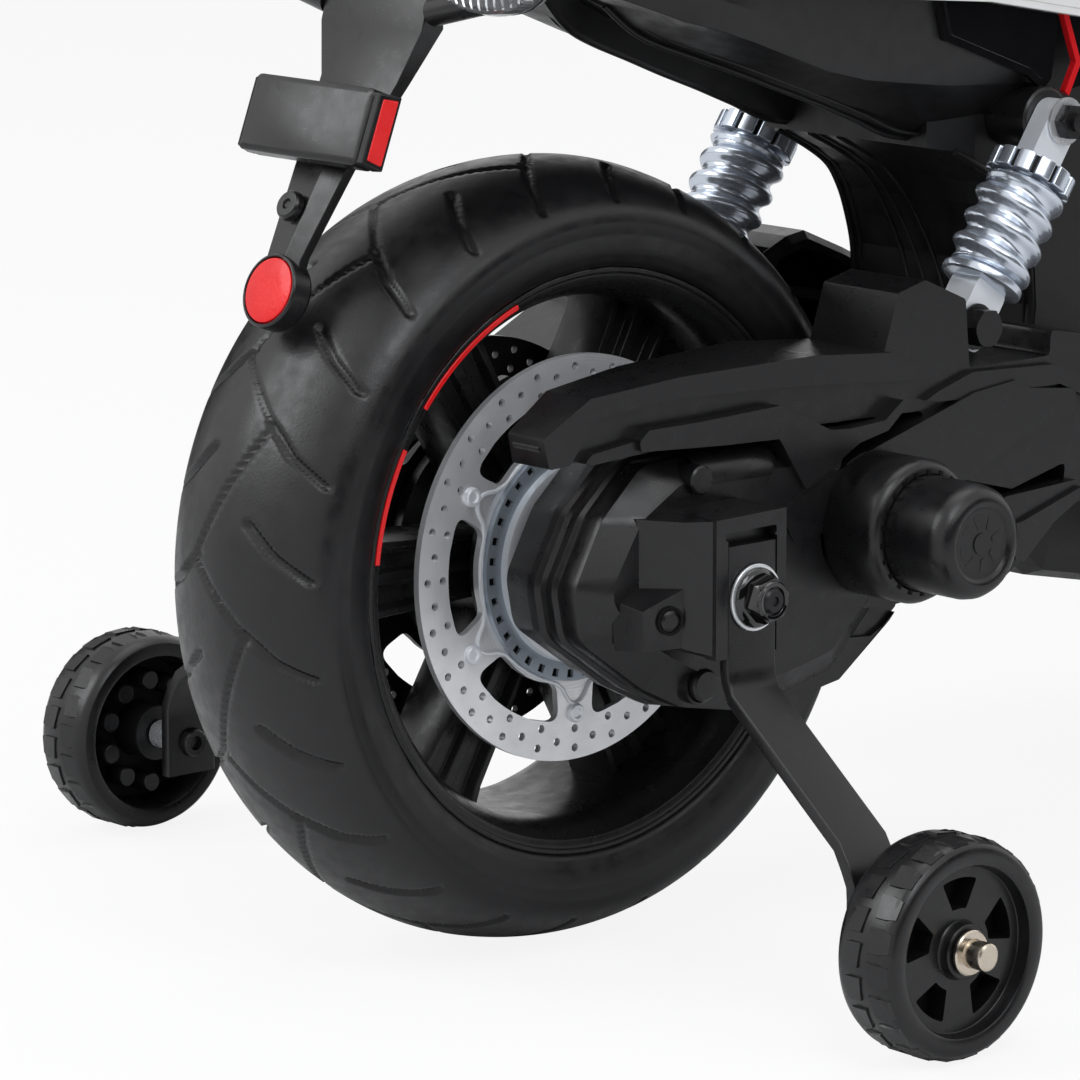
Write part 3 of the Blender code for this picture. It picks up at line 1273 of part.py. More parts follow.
def build_tank():
    base = DECK_Z + GAP
    back = SEAT_FRONT_X + 0.004
    span = TANK_FRONT_X - back
    rise = TANK_TOP_Z - base
    stations = [
        (back, base, base + rise * 0.34, TANK_HALF * 0.78),
        (back + span * 0.22, base, base + rise * 0.72, TANK_HALF * 0.94),
        (back + span * 0.42, base, TANK_TOP_Z, TANK_HALF),
        (back + span * 0.86, base, TANK_TOP_Z, TANK_HALF * 0.98),
        (TANK_FRONT_X, base + rise * 0.06, TANK_TOP_Z - rise * 0.12, TANK_HALF * 0.90),
    ]
    tank = put("tank_cover", body_loft(stations, 0.026, 3), "body_white", CHASSIS)
    wide = TANK_HALF * 0.62
    hollow = box_mesh((back + 0.020, -wide, base - 0.02), (TANK_FRONT_X - 0.010, wide, base + rise * 0.22))
    cut(tank, tool("tank_hollow", hollow, CHASSIS))
    x, side = CONTROL_X, CONTROL_Y
    hole = rod_mesh(BUTTON_RADIUS + GAP, (x, -side, TANK_TOP_Z - BUTTON_DEPTH), (x, -side, TANK_TOP_Z + 0.01), SMALL_STEPS)
    cut(tank, tool("power_button_well", hole, CHASSIS))
    length, width = ROCKER_SIZE
    well = box_mesh(
        (x - length / 2 - RUNNING_GAP, side - width / 2 - GAP, TANK_TOP_Z - BUTTON_DEPTH),
        (x + length / 2 + RUNNING_GAP, side + width / 2 + GAP, TANK_TOP_Z + 0.01),
    )
    cut(tank, tool("direction_switch_well", well, CHASSIS))

    axis = holder("power_button_axis", (x, -side, TANK_TOP_Z), CHASSIS)
    low = -BUTTON_DEPTH + BUTTON_TRAVEL + GAP
    button = [
        (0.0, BUTTON_PROUD),
        (BUTTON_RADIUS - 0.0012, BUTTON_PROUD),
        (BUTTON_RADIUS, BUTTON_PROUD - 0.0012),
        (BUTTON_RADIUS, low),
        (0.0, low),
    ]
    turned("power_button", button, "control_red", axis, steps=SMALL_STEPS, closed=False)

    pivot_z = TANK_TOP_Z - BUTTON_DEPTH + ROCKER_DROP
    axis = holder("direction_switch_axis", (x, side, pivot_z), CHASSIS)
    top = TANK_TOP_Z - pivot_z + BUTTON_PROUD
    rocker = [
        (-length / 2, top),
        (0.0, top - 0.0016),
        (length / 2, top),
        (length / 2 - 0.0012, -ROCKER_DROP + 0.0022),
        (0.0, -ROCKER_DROP + 0.0006),
        (-length / 2 + 0.0012, -ROCKER_DROP + 0.0022),
    ]
    put("direction_switch", outline_mesh([rocker], -width / 2, width / 2), "control_grey", axis)


def build_red_trim():
    """A red saddle band over the gap between seat and tank, with a leg down each side."""
    outer = TAIL_HALF + GAP + COVER_THICK + GAP
    bar = [
        (0.2950, 0.3640),
        (0.4250, 0.3360),
        (0.4600, 0.3480),
        (0.4400, 0.3760),
        (0.3300, 0.3900),
    ]
    for side in (-1, 1):
        side_plate("red_trim", bar, outer, outer + 0.006, "body_red", side, 0.006)


def off_the_wheel(x, z):
    """A point of the plate arm: its foot keeps clear of a larger tyre and its root stays on the tail."""
    share = (ARM_TOP_Z - z) / (ARM_TOP_Z - REFLECTOR_CENTRE[1])
    share = max(0.0, min(1.0, share))
    away = Vector((x, z - AXLE_DATUM))
    away *= 1.0 + share * LIFT / away.length
    return away.x, away.y + AXLE_DATUM


def build_plate_arm():
    """The folded arm behind the tail, the blank number-plate box on it and its reflector."""
    line = [
        (-0.1195, 0.2620, 0.0085, 0.0050),
        (-0.1165, 0.2727, 0.0095, 0.0050),
        (-0.0985, 0.3050, 0.0145, 0.0060),
        (-0.0805, 0.3350, 0.0215, 0.0090),
        (-0.0745, 0.3540, ARM_ROOT_HALF, 0.0130),
        (-0.0710, ARM_TOP_Z, ARM_ROOT_HALF, 0.0090),
        (TAIL_END_X - GAP - ARM_PLATE_THICK, TAIL_END_LOW + 0.0025, ARM_ROOT_HALF, ARM_PLATE_THICK),
        (TAIL_END_X - GAP - ARM_PLATE_THICK, TAIL_END_LOW + 0.0220, 0.0270, ARM_PLATE_THICK),
    ]
    sections = []
    for x, z, half, depth in line:
        x, z = off_the_wheel(x, z)
        sections.append([
            (x, half, z),
            (x - ARM_RIDGE, -half * 0.30, z),
            (x, -half, z),
            (x + depth, -half, z),
            (x + depth, half, z),
        ])
    arm = put("plate_arm", loft_mesh(sections), "satin_black", CHASSIS)
    rx, rz = off_the_wheel(*REFLECTOR_CENTRE)
    axis = holder("reflector_axis", (rx, 0.0, rz), CHASSIS, tilt=PLATE_LEAN)
    cup = rod_mesh(REFLECTOR_RADIUS + 0.0015, (0.0, 0.0, 0.0), (0.0105, 0.0, 0.0), ROUND_STEPS)
    join(arm, tool("reflector_cup", cup, axis))
    well = rod_mesh(REFLECTOR_RADIUS + GAP, (-0.01, 0.0, 0.0), (0.0022, 0.0, 0.0), ROUND_STEPS)
    cut(arm, tool("reflector_well", well, axis))
    lens = [
        (0.0, 0.0022 - GAP),
        (REFLECTOR_RADIUS, 0.0022 - GAP),
        (REFLECTOR_RADIUS, 0.0),
        (REFLECTOR_RADIUS - 0.0030, -0.0010),
        (0.0, -0.0012),
    ]
    across = (0.0, math.pi / 2, 0.0)
    turned("rear_reflector", lens, "reflector_red", axis, turn=across, steps=ROUND_STEPS, closed=False)

    px, pz = off_the_wheel(*PLATE_CENTRE)
    axis = holder("plate_axis", (px, 0.0, pz), CHASSIS, tilt=PLATE_LEAN)
    tall = PLATE_HEIGHT / 2
    pedestal = box_mesh((PLATE_THICK + GAP, -0.0125, -tall * 0.7), (0.0220, 0.0125, tall * 0.7))
    join(arm, tool("plate_pedestal", pedestal, axis))
    box = box_mesh((0.0, -PLATE_HALF_WIDTH, -tall), (PLATE_THICK, PLATE_HALF_WIDTH, tall))
    plate = put("plate_box", box, "satin_black", axis)
    bevel(plate, 0.0020, 2)
    room = box_mesh((-0.01, -0.06, -tall - GAP), (PLATE_THICK + GAP, 0.06, tall + GAP))
    cut(arm, tool("plate_room", room, axis))


def build_tail_lights():
    """The tail light and the two turn signals, on stalks from the plate arm's root."""
    back = TAIL_END_X - GAP
    sections = []
    for x, half, low, high in (
        (back, 0.0340, 0.3985, 0.4270),
        (back - 0.0080, 0.0310, 0.4005, 0.4255),
        (back - 0.0110, 0.0250, 0.4045, 0.4220),
    ):
        sections.append(cross_section(x, low, high, half, 0.008, 2))
    put("tail_light", loft_mesh(sections), "reflector_red", CHASSIS)
    for side in (-1, 1):
        name = side_name(side)
        root = ARM_ROOT_HALF + GAP
        start = (SIGNAL_X, side * (root - 0.002), SIGNAL_Z)
        end = (SIGNAL_X, side * (LAMP_CENTRE_Y - 0.010), SIGNAL_Z + STALK_RISE)
        signal = put("turn_signal_" + name, rod_mesh(0.0055, start, end, PIN_STEPS), "satin_black", CHASSIS)
        lamp = []
        for x, half, reach in (
            (SIGNAL_X + 0.0120, 0.0060, 0.0120),
            (SIGNAL_X + 0.0060, 0.0110, 0.0220),
            (SIGNAL_X - 0.0080, 0.0125, 0.0280),
            (SIGNAL_X - 0.0120, 0.0100, 0.0240),
        ):
            loop = []
            for k in range(SMALL_STEPS):
                angle = math.tau * k / SMALL_STEPS
                y = side * LAMP_CENTRE_Y + reach * math.cos(angle)
                loop.append((x, y, SIGNAL_Z + LAMP_RISE + half * math.sin(angle)))
            lamp.append(loop)
        join(signal, tool("signal_lamp_" + name, loft_mesh(lamp), CHASSIS))
        low_y, high_y = sorted((0.0, side * root))
        trim = box_mesh((SIGNAL_X - 0.02, low_y, SIGNAL_Z - 0.02), (SIGNAL_X + 0.02, high_y, SIGNAL_Z + 0.02))
        cut(signal, tool("signal_root_" + name, trim, CHASSIS))


# Front end

def build_fork():
    """Stem, two yokes and two legs, with a lug at the foot of each leg for the axle."""
    low_yoke = -HEAD_HALF - GAP
    high_yoke = HEAD_HALF + GAP
    foot = -FORK_LENGTH - LEG_RADIUS - 0.004
    stem = rod_mesh(STEM_RADIUS, (0.0, 0.0, low_yoke - 0.006), (0.0, 0.0, high_yoke + 0.006), SMALL_STEPS)
    fork = put("fork", stem, "satin_black", STEERING)
    for name, near, far in (
        ("lower_yoke", low_yoke - YOKE_THICK, low_yoke),
        ("upper_yoke", high_yoke, high_yoke + YOKE_THICK),
    ):
        reach = LEG_RADIUS + 0.006
        outline = [
            (-0.024, -0.018),
            (-0.024, 0.018),
            (FORK_OFFSET - 0.008, LEG_Y + reach - 0.002),
            (FORK_OFFSET + 0.014, LEG_Y + reach - 0.004),
            (FORK_OFFSET + 0.018, 0.020),
            (FORK_OFFSET + 0.018, -0.020),
            (FORK_OFFSET + 0.014, -LEG_Y - reach + 0.004),
            (FORK_OFFSET - 0.008, -LEG_Y - reach + 0.002),
        ]
        plate = outline_mesh([rounded(outline, 0.008, 2)], -(far - near) / 2, (far - near) / 2)
        plate.transform(Matrix.Translation((0.0, 0.0, (near + far) / 2)) @ Matrix.Rotation(-math.pi / 2, 4, "X"))
        join(fork, tool(name, plate, STEERING))
    for side in (-1, 1):
        name = side_name(side)
        leg = [
            (0.0, high_yoke + YOKE_THICK + 0.004),
            (LEG_RADIUS - 0.004, high_yoke + YOKE_THICK + 0.004),
            (LEG_RADIUS - 0.003, high_yoke + YOKE_THICK - 0.002),
            (LEG_RADIUS - 0.003, -FORK_LENGTH * 0.52),
            (LEG_RADIUS, -FORK_LENGTH * 0.52 - 0.004),
            (LEG_RADIUS, foot + 0.004),
            (LEG_RADIUS - 0.004, foot),
            (0.0, foot),
        ]
        body = turned(
            "fork_leg_" + name, leg, None, STEERING, (FORK_OFFSET, side * LEG_Y, 0.0), steps=PIN_STEPS, closed=False
        )
        join(fork, body)
    bore = rod_mesh(AXLE_RADIUS + GAP, (0.0, -0.1, 0.0), (0.0, 0.1, 0.0), PIN_STEPS)
    cut(fork, tool("fork_axle_bore", bore, FRONT_AXIS))


def build_front_fender():
    """A mudguard over the front tyre: an arc of a rounded channel, its sides against the fork legs."""
    clear = 0.0075
    thick = 0.0030
    half = LEG_Y - LEG_RADIUS - GAP - thick
    bm = bmesh.new()
    rows = []
    count = 11
    for i in range(count):
        angle = math.radians(27 + 138 * i / (count - 1))
        row = []
        for y, drop in ((-half, 0.030), (-half, 0.012), (-half * 0.72, 0.0015), (0.0, 0.0), (half * 0.72, 0.0015), (half, 0.012), (half, 0.030)):
            r = WHEEL_RADIUS + clear + thick - drop
            row.append(bm.verts.new((r * math.cos(angle), y, r * math.sin(angle))))
        rows.append(row)
    for a, b in zip(rows, rows[1:]):
        for j in range(len(a) - 1):
            bm.faces.new((a[j], a[j + 1], b[j + 1], b[j]))
    bmesh.ops.recalc_face_normals(bm, faces=bm.faces)
    mesh = bpy.data.meshes.new("fender")
    bm.to_mesh(mesh)
    bm.free()
    fender = put("front_fender", mesh, "body_white", FRONT_AXIS)
    skin = fender.modifiers.new("thickness", "SOLIDIFY")
    skin.thickness = thick
    skin.offset = 1.0
    skin.use_even_offset = True


def build_fairing():
    """The headlight shell ahead of the fork, its lens and the small screen above it."""
    base = FORK_OFFSET + 0.018 + GAP
    stations = [
        (base, -0.052, 0.066, 0.066),
        (base + 0.020, -0.056, 0.070, 0.074),
        (base + 0.050, -0.046, 0.064, 0.066),
        (base + 0.074, -0.030, 0.050, 0.046),
    ]
    shell = put("headlight_shell", body_loft(stations, 0.024, 3), "body_red", STEERING)
    well = rod_mesh(HEADLIGHT_RADIUS + GAP, (base + 0.060, 0.0, 0.010), (base + 0.12, 0.0, 0.010), ROUND_STEPS)
    cut(shell, tool("headlight_well", well, STEERING))
    lens = [
        (0.0, 0.0180),
        (HEADLIGHT_RADIUS * 0.55, 0.0165),
        (HEADLIGHT_RADIUS * 0.90, 0.0115),
        (HEADLIGHT_RADIUS, 0.0070),
        (HEADLIGHT_RADIUS, GAP),
        (0.0, GAP),
    ]
    turned(
        "headlight_lens", lens, "clear_lens", STEERING, (base + 0.060, 0.0, 0.010), (0.0, math.pi / 2, 0.0), ROUND_STEPS, False
    )
    slot = screen_skin(tool("screen_slot", screen_mesh(base, SCREEN_SUNK + GAP), STEERING), SCREEN_THICK + 2 * GAP)
    cut(shell, slot)
    screen_skin(put("windscreen", screen_mesh(base, SCREEN_SUNK), "clear_lens", STEERING), SCREEN_THICK)


def screen_mesh(base, sunk):
    """The screen as one curved sheet, its foot sunk into the headlight shell."""
    bm = bmesh.new()
    rows = []
    for t in range(5):
        up = t / 4
        rise = 0.0640 - sunk * (1 - up) + 0.116 * up
        back = base + 0.046 - 0.016 * up - 0.012 * up ** 2
        half = 0.050 - 0.014 * up ** 2
        row = []
        for k in range(7):
            u = -1 + 2 * k / 6
            row.append(bm.verts.new((back - 0.022 * u * u, half * u, rise - 0.004 * u * u * up)))
        rows.append(row)
    for a, b in zip(rows, rows[1:]):
        for j in range(len(a) - 1):
            bm.faces.new((a[j], a[j + 1], b[j + 1], b[j]))
    mesh = bpy.data.meshes.new("screen")
    bm.to_mesh(mesh)
    bm.free()
    return mesh


def screen_skin(body, thick):
    skin = body.modifiers.new("thickness", "SOLIDIFY")
    skin.thickness = thick
    skin.offset = 0.0
    return body


def build_handlebar():
    top = HEAD_HALF + GAP + YOKE_THICK + GAP
    route = [
        (-0.062, -BAR_HALF_SPAN, top + 0.098),
        (-0.050, -0.130, top + 0.100),
        (-0.012, -0.070, top + 0.040),
        (0.0, -0.030, top + BAR_RADIUS + 0.004),
        (0.0, 0.030, top + BAR_RADIUS + 0.004),
        (-0.012, 0.070, top + 0.040),
        (-0.050, 0.130, top + 0.100),
        (-0.062, BAR_HALF_SPAN, top + 0.098),
    ]
    bar = put("handlebar", tube_mesh(smooth_route(route, 3), BAR_RADIUS), "satin_black", STEERING)
    clamp = box_mesh((-0.016, -0.038, top), (0.016, 0.038, top + 2 * BAR_RADIUS + 0.006))
    join(bar, tool("bar_clamp", clamp, STEERING))
    for side in (-1, 1):
        end = Vector((route[-1][0], side * route[-1][1], route[-1][2]))
        inner = Vector((route[-2][0], side * route[-2][1], route[-2][2]))
        run = (end - inner).normalized()
        near = end - run * GRIP_LENGTH
        far = end + run * 0.006
        frame = holder("grip_axis_" + side_name(side), near, STEERING)
        profile_length = (far - near).length
        profile = [
            (0.0, profile_length),
            (GRIP_RADIUS, profile_length),
            (GRIP_RADIUS + 0.0015, profile_length - 0.004),
            (GRIP_RADIUS, profile_length - 0.008),
            (GRIP_RADIUS, 0.008),
            (GRIP_RADIUS + 0.0045, 0.005),
            (GRIP_RADIUS + 0.0045, 0.0),
            (BAR_RADIUS + GAP, 0.0),
            (BAR_RADIUS + GAP, profile_length - 0.006 + GAP),
            (0.0, profile_length - 0.006 + GAP),
        ]
        spin = run.to_track_quat("Z", "Y").to_euler()
        turned(
            "grip_" + side_name(side), profile, "grip_rubber", frame, (0.0, 0.0, 0.0), spin, SMALL_STEPS, False
        )


def smooth_route(points, per_span):
    """Points on one smooth curve through the route's own points, straight at both ends."""
    out = []
    count = len(points)
    for i in range(count - 1):
        a = Vector(points[max(i - 1, 0)])
        b = Vector(points[i])
        c = Vector(points[i + 1])
        d = Vector(points[min(i + 2, count - 1)])
        if i in (0, count - 2):
            out.append(b)
            continue
        for s in range(per_span):
            t = s / per_span
            value = 0.5 * (2 * b + (c - a) * t + (2 * a - 5 * b + 4 * c - d) * t ** 2 + (3 * b - a - 3 * c + d) * t ** 3)
            out.append(value)
    out.append(Vector(points[-1]))
    return out


# Foot boards and accelerator pedal

def build_foot_boards():
    near = BODY_HALF_FRONT + GAP
    for side in (-1, 1):
        name = side_name(side)
        low_y, high_y = sorted((side * near, side * BOARD_OUT))
        low = (BOARD_REAR_X, low_y, BOARD_Z - BOARD_THICK)
        high = (BOARD_FRONT_X, high_y, BOARD_Z)
        board = put("foot_board_" + name, box_mesh(low, high), "matte_black", CHASSIS)
        bevel(board, 0.004, 2)
        ribs = []
        for i in range(4):
            x = BOARD_REAR_X + 0.016 + i * 0.034
            if side < 0:
                continue
            ribs.append(box_mesh((x, side * (near + 0.012), BOARD_Z - 0.001), (x + 0.008, side * (BOARD_OUT - 0.010), BOARD_Z + 0.0025)))
        if ribs:
            join(board, tool("board_ribs_" + name, together(*ribs), CHASSIS))
        else:
            lugs = []
            for end in (-1, 1):
                y0 = PEDAL_Y + end * (PEDAL_WIDTH / 2 + GAP)
                y1 = y0 + end * 0.005
                a, b = sorted((y0, y1))
                lugs.append(
                    box_mesh(
                        (PEDAL_PIVOT_X - 0.006, a, BOARD_Z - 0.001),
                        (PEDAL_PIVOT_X + 0.006, b, PEDAL_PIVOT_Z + 0.005),
                    )
                )
            join(board, tool("pedal_lugs", together(*lugs), CHASSIS))
    axis = holder("pedal_axis", (PEDAL_PIVOT_X, PEDAL_Y, PEDAL_PIVOT_Z), CHASSIS, tilt=-PEDAL_TILT)
    half = PEDAL_WIDTH / 2
    plate = box_mesh((0.0, -half, -PEDAL_THICK / 2), (PEDAL_LENGTH, half, PEDAL_THICK / 2))
    pedal = put("foot_pedal", plate, "satin_black", axis)
    bevel(pedal, 0.0015)
    barrel = rod_mesh(PEDAL_BARREL, (0.0, -half, 0.0), (0.0, half, 0.0), 16)
    join(pedal, tool("pedal_barrel", barrel, axis))


BUILDERS = [
    build_rear_wheel,
    build_front_wheel,
    build_drive,
    build_swingarms,
    build_axle_set,
    lambda: build_stabiliser(-1),
    lambda: build_stabiliser(1),
    build_shocks,
    build_frame,
    build_tail,
    build_side_panels,
    build_seat,
    build_tank,
    build_red_trim,
    build_plate_arm,
    build_tail_lights,
    build_fork,
    build_front_fender,
    build_fairing,
    build_handlebar,
    build_foot_boards,
]

for build in BUILDERS:
    build()

for piece in PARTS.objects:
    if piece.type == "MESH":
        smooth(piece)
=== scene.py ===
"""The looks of a ride-on electric motorcycle for a small child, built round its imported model."""

import math

import bmesh
import bpy
import numpy as np
from mathutils import Matrix, Vector


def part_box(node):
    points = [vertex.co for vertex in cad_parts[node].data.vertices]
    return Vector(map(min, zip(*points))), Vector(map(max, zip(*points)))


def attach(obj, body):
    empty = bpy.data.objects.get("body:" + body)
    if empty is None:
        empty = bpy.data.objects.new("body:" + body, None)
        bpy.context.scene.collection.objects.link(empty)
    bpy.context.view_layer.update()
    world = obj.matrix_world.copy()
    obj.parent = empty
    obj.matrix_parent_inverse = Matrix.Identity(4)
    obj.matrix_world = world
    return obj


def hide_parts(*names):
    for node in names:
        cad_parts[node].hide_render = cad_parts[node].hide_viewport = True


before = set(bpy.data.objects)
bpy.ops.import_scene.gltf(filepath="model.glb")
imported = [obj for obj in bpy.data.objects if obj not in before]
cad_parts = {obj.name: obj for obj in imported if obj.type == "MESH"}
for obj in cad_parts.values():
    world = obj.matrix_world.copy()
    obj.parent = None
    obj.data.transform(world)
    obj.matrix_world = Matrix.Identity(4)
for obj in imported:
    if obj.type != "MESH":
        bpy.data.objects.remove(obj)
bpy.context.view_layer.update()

AXLE_LOW, AXLE_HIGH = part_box("rear_axle")
SHIFT = Vector(((AXLE_LOW.x + AXLE_HIGH.x) / 2, 0.0, 0.0))

WHEEL_R = 0.150
REAR_HALF = 0.0447
FRONT_HALF = 0.0375
BEAD_R = 0.1118
REAR_RIM_HALF = 0.0412
FRONT_RIM_HALF = 0.0345
DISC_FACE = 0.0293
DISC_THICK = 0.0028
WHEELBASE = 0.740
RAKE = math.radians(25)
FORK_OFFSET = 0.030
FORK_LENGTH = 0.360
HEAD_X = WHEELBASE - FORK_OFFSET * math.cos(RAKE) - FORK_LENGTH * math.sin(RAKE)
HEAD_Z = WHEEL_R - FORK_OFFSET * math.sin(RAKE) + FORK_LENGTH * math.cos(RAKE)
STEER = Matrix.Translation((HEAD_X, 0.0, HEAD_Z)) @ Matrix.Rotation(-RAKE, 4, "Y")


# Materials

def node_of(tree, kind, **values):
    node = tree.nodes.new(kind)
    for key, value in values.items():
        setattr(node, key, value)
    return node


def noise(tree, place, scale, detail=3.0, rough=0.55):
    texture = node_of(tree, "ShaderNodeTexNoise")
    texture.inputs["Scale"].default_value = scale
    texture.inputs["Detail"].default_value = detail
    texture.inputs["Roughness"].default_value = rough
    tree.links.new(place, texture.inputs["Vector"])
    return texture.outputs["Fac"]


def spread(tree, value, low, high, start=0.35, end=0.65):
    remap = node_of(tree, "ShaderNodeMapRange")
    remap.inputs["From Min"].default_value = start
    remap.inputs["From Max"].default_value = end
    remap.inputs["To Min"].default_value = low
    remap.inputs["To Max"].default_value = high
    tree.links.new(value, remap.inputs["Value"])
    return remap.outputs["Result"]


def finish(
    name, colour, rough, metal=0.0, vary=0.05, tint=0.12, grain=1500.0, bump=0.06, depth=0.0004,
    specular=0.5, coat=0.0, patch=28.0, rings=None, transmission=0.0, ior=1.45, sheen=0.0,
):
    """A surface with its own grain, patches of unlike gloss and a slight unevenness of colour."""
    material = bpy.data.materials.new(name)
    material.use_nodes = True
    tree = material.node_tree
    shader = tree.nodes["Principled BSDF"]
    place = node_of(tree, "ShaderNodeTexCoord").outputs["Object"]
    shader.inputs["Metallic"].default_value = metal
    shader.inputs["Specular IOR Level"].default_value = specular
    shader.inputs["Coat Weight"].default_value = coat
    shader.inputs["Coat Roughness"].default_value = 0.06
    shader.inputs["IOR"].default_value = ior
    shader.inputs["Transmission Weight"].default_value = transmission
    shader.inputs["Sheen Weight"].default_value = sheen

    patches = noise(tree, place, patch, 4.0)
    mix = node_of(tree, "ShaderNodeMix", data_type="RGBA")
    dark = [c * (1.0 - tint) for c in colour]
    pale = [min(1.0, c * (1.0 + tint)) for c in colour]
    mix.inputs["A"].default_value = (*dark, 1.0)
    mix.inputs["B"].default_value = (*pale, 1.0)
    tree.links.new(spread(tree, patches, 0.0, 1.0), mix.inputs["Factor"])
    tree.links.new(mix.outputs["Result"], shader.inputs["Base Color"])

    wear = noise(tree, place, patch * 5.3, 5.0)
    low = max(0.02, rough - vary)
    tree.links.new(spread(tree, wear, low, rough + vary), shader.inputs["Roughness"])

    height = noise(tree, place, grain, 2.0)
    if rings:
        centre, axis, scale, share = rings
        mapping = node_of(tree, "ShaderNodeMapping", vector_type="POINT")
        mapping.inputs["Location"].default_value = [-c for c in centre]
        tree.links.new(place, mapping.inputs["Vector"])
        wave = node_of(tree, "ShaderNodeTexWave", wave_type="RINGS", rings_direction=axis)
        wave.inputs["Scale"].default_value = scale
        wave.inputs["Distortion"].default_value = 0.6
        wave.inputs["Detail"].default_value = 2.0
        tree.links.new(mapping.outputs["Vector"], wave.inputs["Vector"])
        blend = node_of(tree, "ShaderNodeMix", data_type="FLOAT")
        blend.inputs["Factor"].default_value = share
        tree.links.new(height, blend.inputs["A"])
        tree.links.new(wave.outputs["Fac"], blend.inputs["B"])
        height = blend.outputs["Result"]
    relief = node_of(tree, "ShaderNodeBump")
    relief.inputs["Strength"].default_value = bump
    relief.inputs["Distance"].default_value = depth
    tree.links.new(height, relief.inputs["Height"])
    tree.links.new(relief.outputs["Normal"], shader.inputs["Normal"])
    return material


REAR_CENTRE = (SHIFT.x, 0.0, WHEEL_R)
FRONT_CENTRE = (SHIFT.x + WHEELBASE, 0.0, WHEEL_R)

M = {
    "rubber": finish("tyre_rubber", (0.0066, 0.0066, 0.0073), 0.37, vary=0.07, specular=0.48, grain=900, bump=0.16, tint=0.2),
    "satin": finish("satin_plastic", (0.0062, 0.0062, 0.0069), 0.31, vary=0.05, specular=0.50, grain=2200, bump=0.10),
    "matte": finish("matte_plastic", (0.0064, 0.0064, 0.0070), 0.40, vary=0.06, specular=0.44, grain=1300, bump=0.18),
    "gloss": finish("gloss_plastic", (0.0045, 0.0045, 0.0050), 0.08, vary=0.03, specular=0.5, grain=90, bump=0.05, coat=0.6),
    "rim": finish("rim_plastic", (0.0090, 0.0090, 0.0095), 0.30, vary=0.06, specular=0.4, grain=1600, bump=0.06),
    "blackmetal": finish("blacked_steel", (0.020, 0.020, 0.022), 0.30, metal=0.55, vary=0.06, grain=1800, bump=0.05),
    "disc": finish(
        "turned_steel", (0.80, 0.81, 0.83), 0.36, metal=0.62, vary=0.05, tint=0.05, grain=1500, bump=0.12, depth=0.0003,
        rings=(REAR_CENTRE, "Y", 240.0, 0.7),
    ),
    "edge": finish("bright_edge", (0.80, 0.81, 0.83), 0.20, metal=1.0, vary=0.06, tint=0.04, grain=800, bump=0.05),
    "blued": finish("blued_steel_dark", (0.40, 0.45, 0.51), 0.38, metal=0.5, vary=0.06, grain=1500, bump=0.08),
    "chrome": finish("chrome_plate", (0.62, 0.67, 0.75), 0.21, metal=0.8, vary=0.04, tint=0.04, grain=260, bump=0.06),
    "zinc": finish("zinc_plate", (0.70, 0.72, 0.74), 0.30, metal=0.7, vary=0.08, tint=0.08, grain=900, bump=0.08),
    "pale": finish("bright_pale_steel", (0.78, 0.81, 0.85), 0.34, metal=0.35, vary=0.05, tint=0.04, grain=900, bump=0.06),
    "nickel": finish("nickel_plate", (0.62, 0.55, 0.46), 0.24, metal=1.0, vary=0.06, tint=0.05, grain=900, bump=0.06),
    "red_lens": finish("red_reflector", (0.74, 0.010, 0.012), 0.34, vary=0.06, tint=0.10, grain=620, bump=0.45, specular=0.35, coat=0.15),
    "red_paint": finish("red_stripe", (0.72, 0.010, 0.012), 0.30, vary=0.05, tint=0.08, grain=700, bump=0.05),
    "red_body": finish("red_body", (0.62, 0.012, 0.016), 0.14, vary=0.04, tint=0.06, grain=300, bump=0.04, coat=0.5),
    "white": finish("white_body", (0.78, 0.78, 0.775), 0.20, vary=0.05, tint=0.02, grain=300, bump=0.04, coat=0.4),
    "vinyl": finish("seat_vinyl", (0.016, 0.016, 0.017), 0.48, vary=0.08, specular=0.4, grain=520, bump=0.35, depth=0.0006),
    "thread": finish("seam_thread", (0.08, 0.08, 0.085), 0.65, vary=0.08, grain=1500, bump=0.3),
    "grip": finish("grip_rubber_soft", (0.013, 0.013, 0.013), 0.62, vary=0.08, specular=0.35, grain=800, bump=0.3),
    "control_red": finish("button_red", (0.60, 0.02, 0.02), 0.34, vary=0.06, grain=900, bump=0.08),
    "grey": finish("switch_grey", (0.18, 0.18, 0.19), 0.42, vary=0.06, grain=1200, bump=0.08),
    "case": finish("case_plastic", (0.09, 0.09, 0.10), 0.48, vary=0.06, grain=900, bump=0.12),
    "lens": finish("clear_plastic", (0.90, 0.92, 0.94), 0.06, vary=0.03, tint=0.02, grain=300, bump=0.05, transmission=0.9),
    "smoke": finish("smoked_plastic", (0.10, 0.11, 0.12), 0.08, vary=0.03, grain=300, bump=0.04, transmission=0.85),
    "silver": finish("lamp_mirror", (0.82, 0.83, 0.85), 0.18, metal=1.0, vary=0.05, tint=0.03, grain=500, bump=0.08),
    # Painted shade: a near-black put in slots, holes, windows and notches, standing for the shade inside them.
    "dark": finish("painted_shade", (0.003, 0.003, 0.003), 0.60, vary=0.05, specular=0.2, grain=1200, bump=0.1),
}


# Shapes

def merged(*parts):
    """Several (points, faces) shapes as one."""
    points = []
    faces = []
    for more_points, more_faces in parts:
        base = len(points)
        points.extend(more_points)
        faces.extend([tuple(base + i for i in face) for face in more_faces])
    return points, faces


def moved(shape, matrix):
    points, faces = shape
    return [matrix @ Vector(p) for p in points], faces


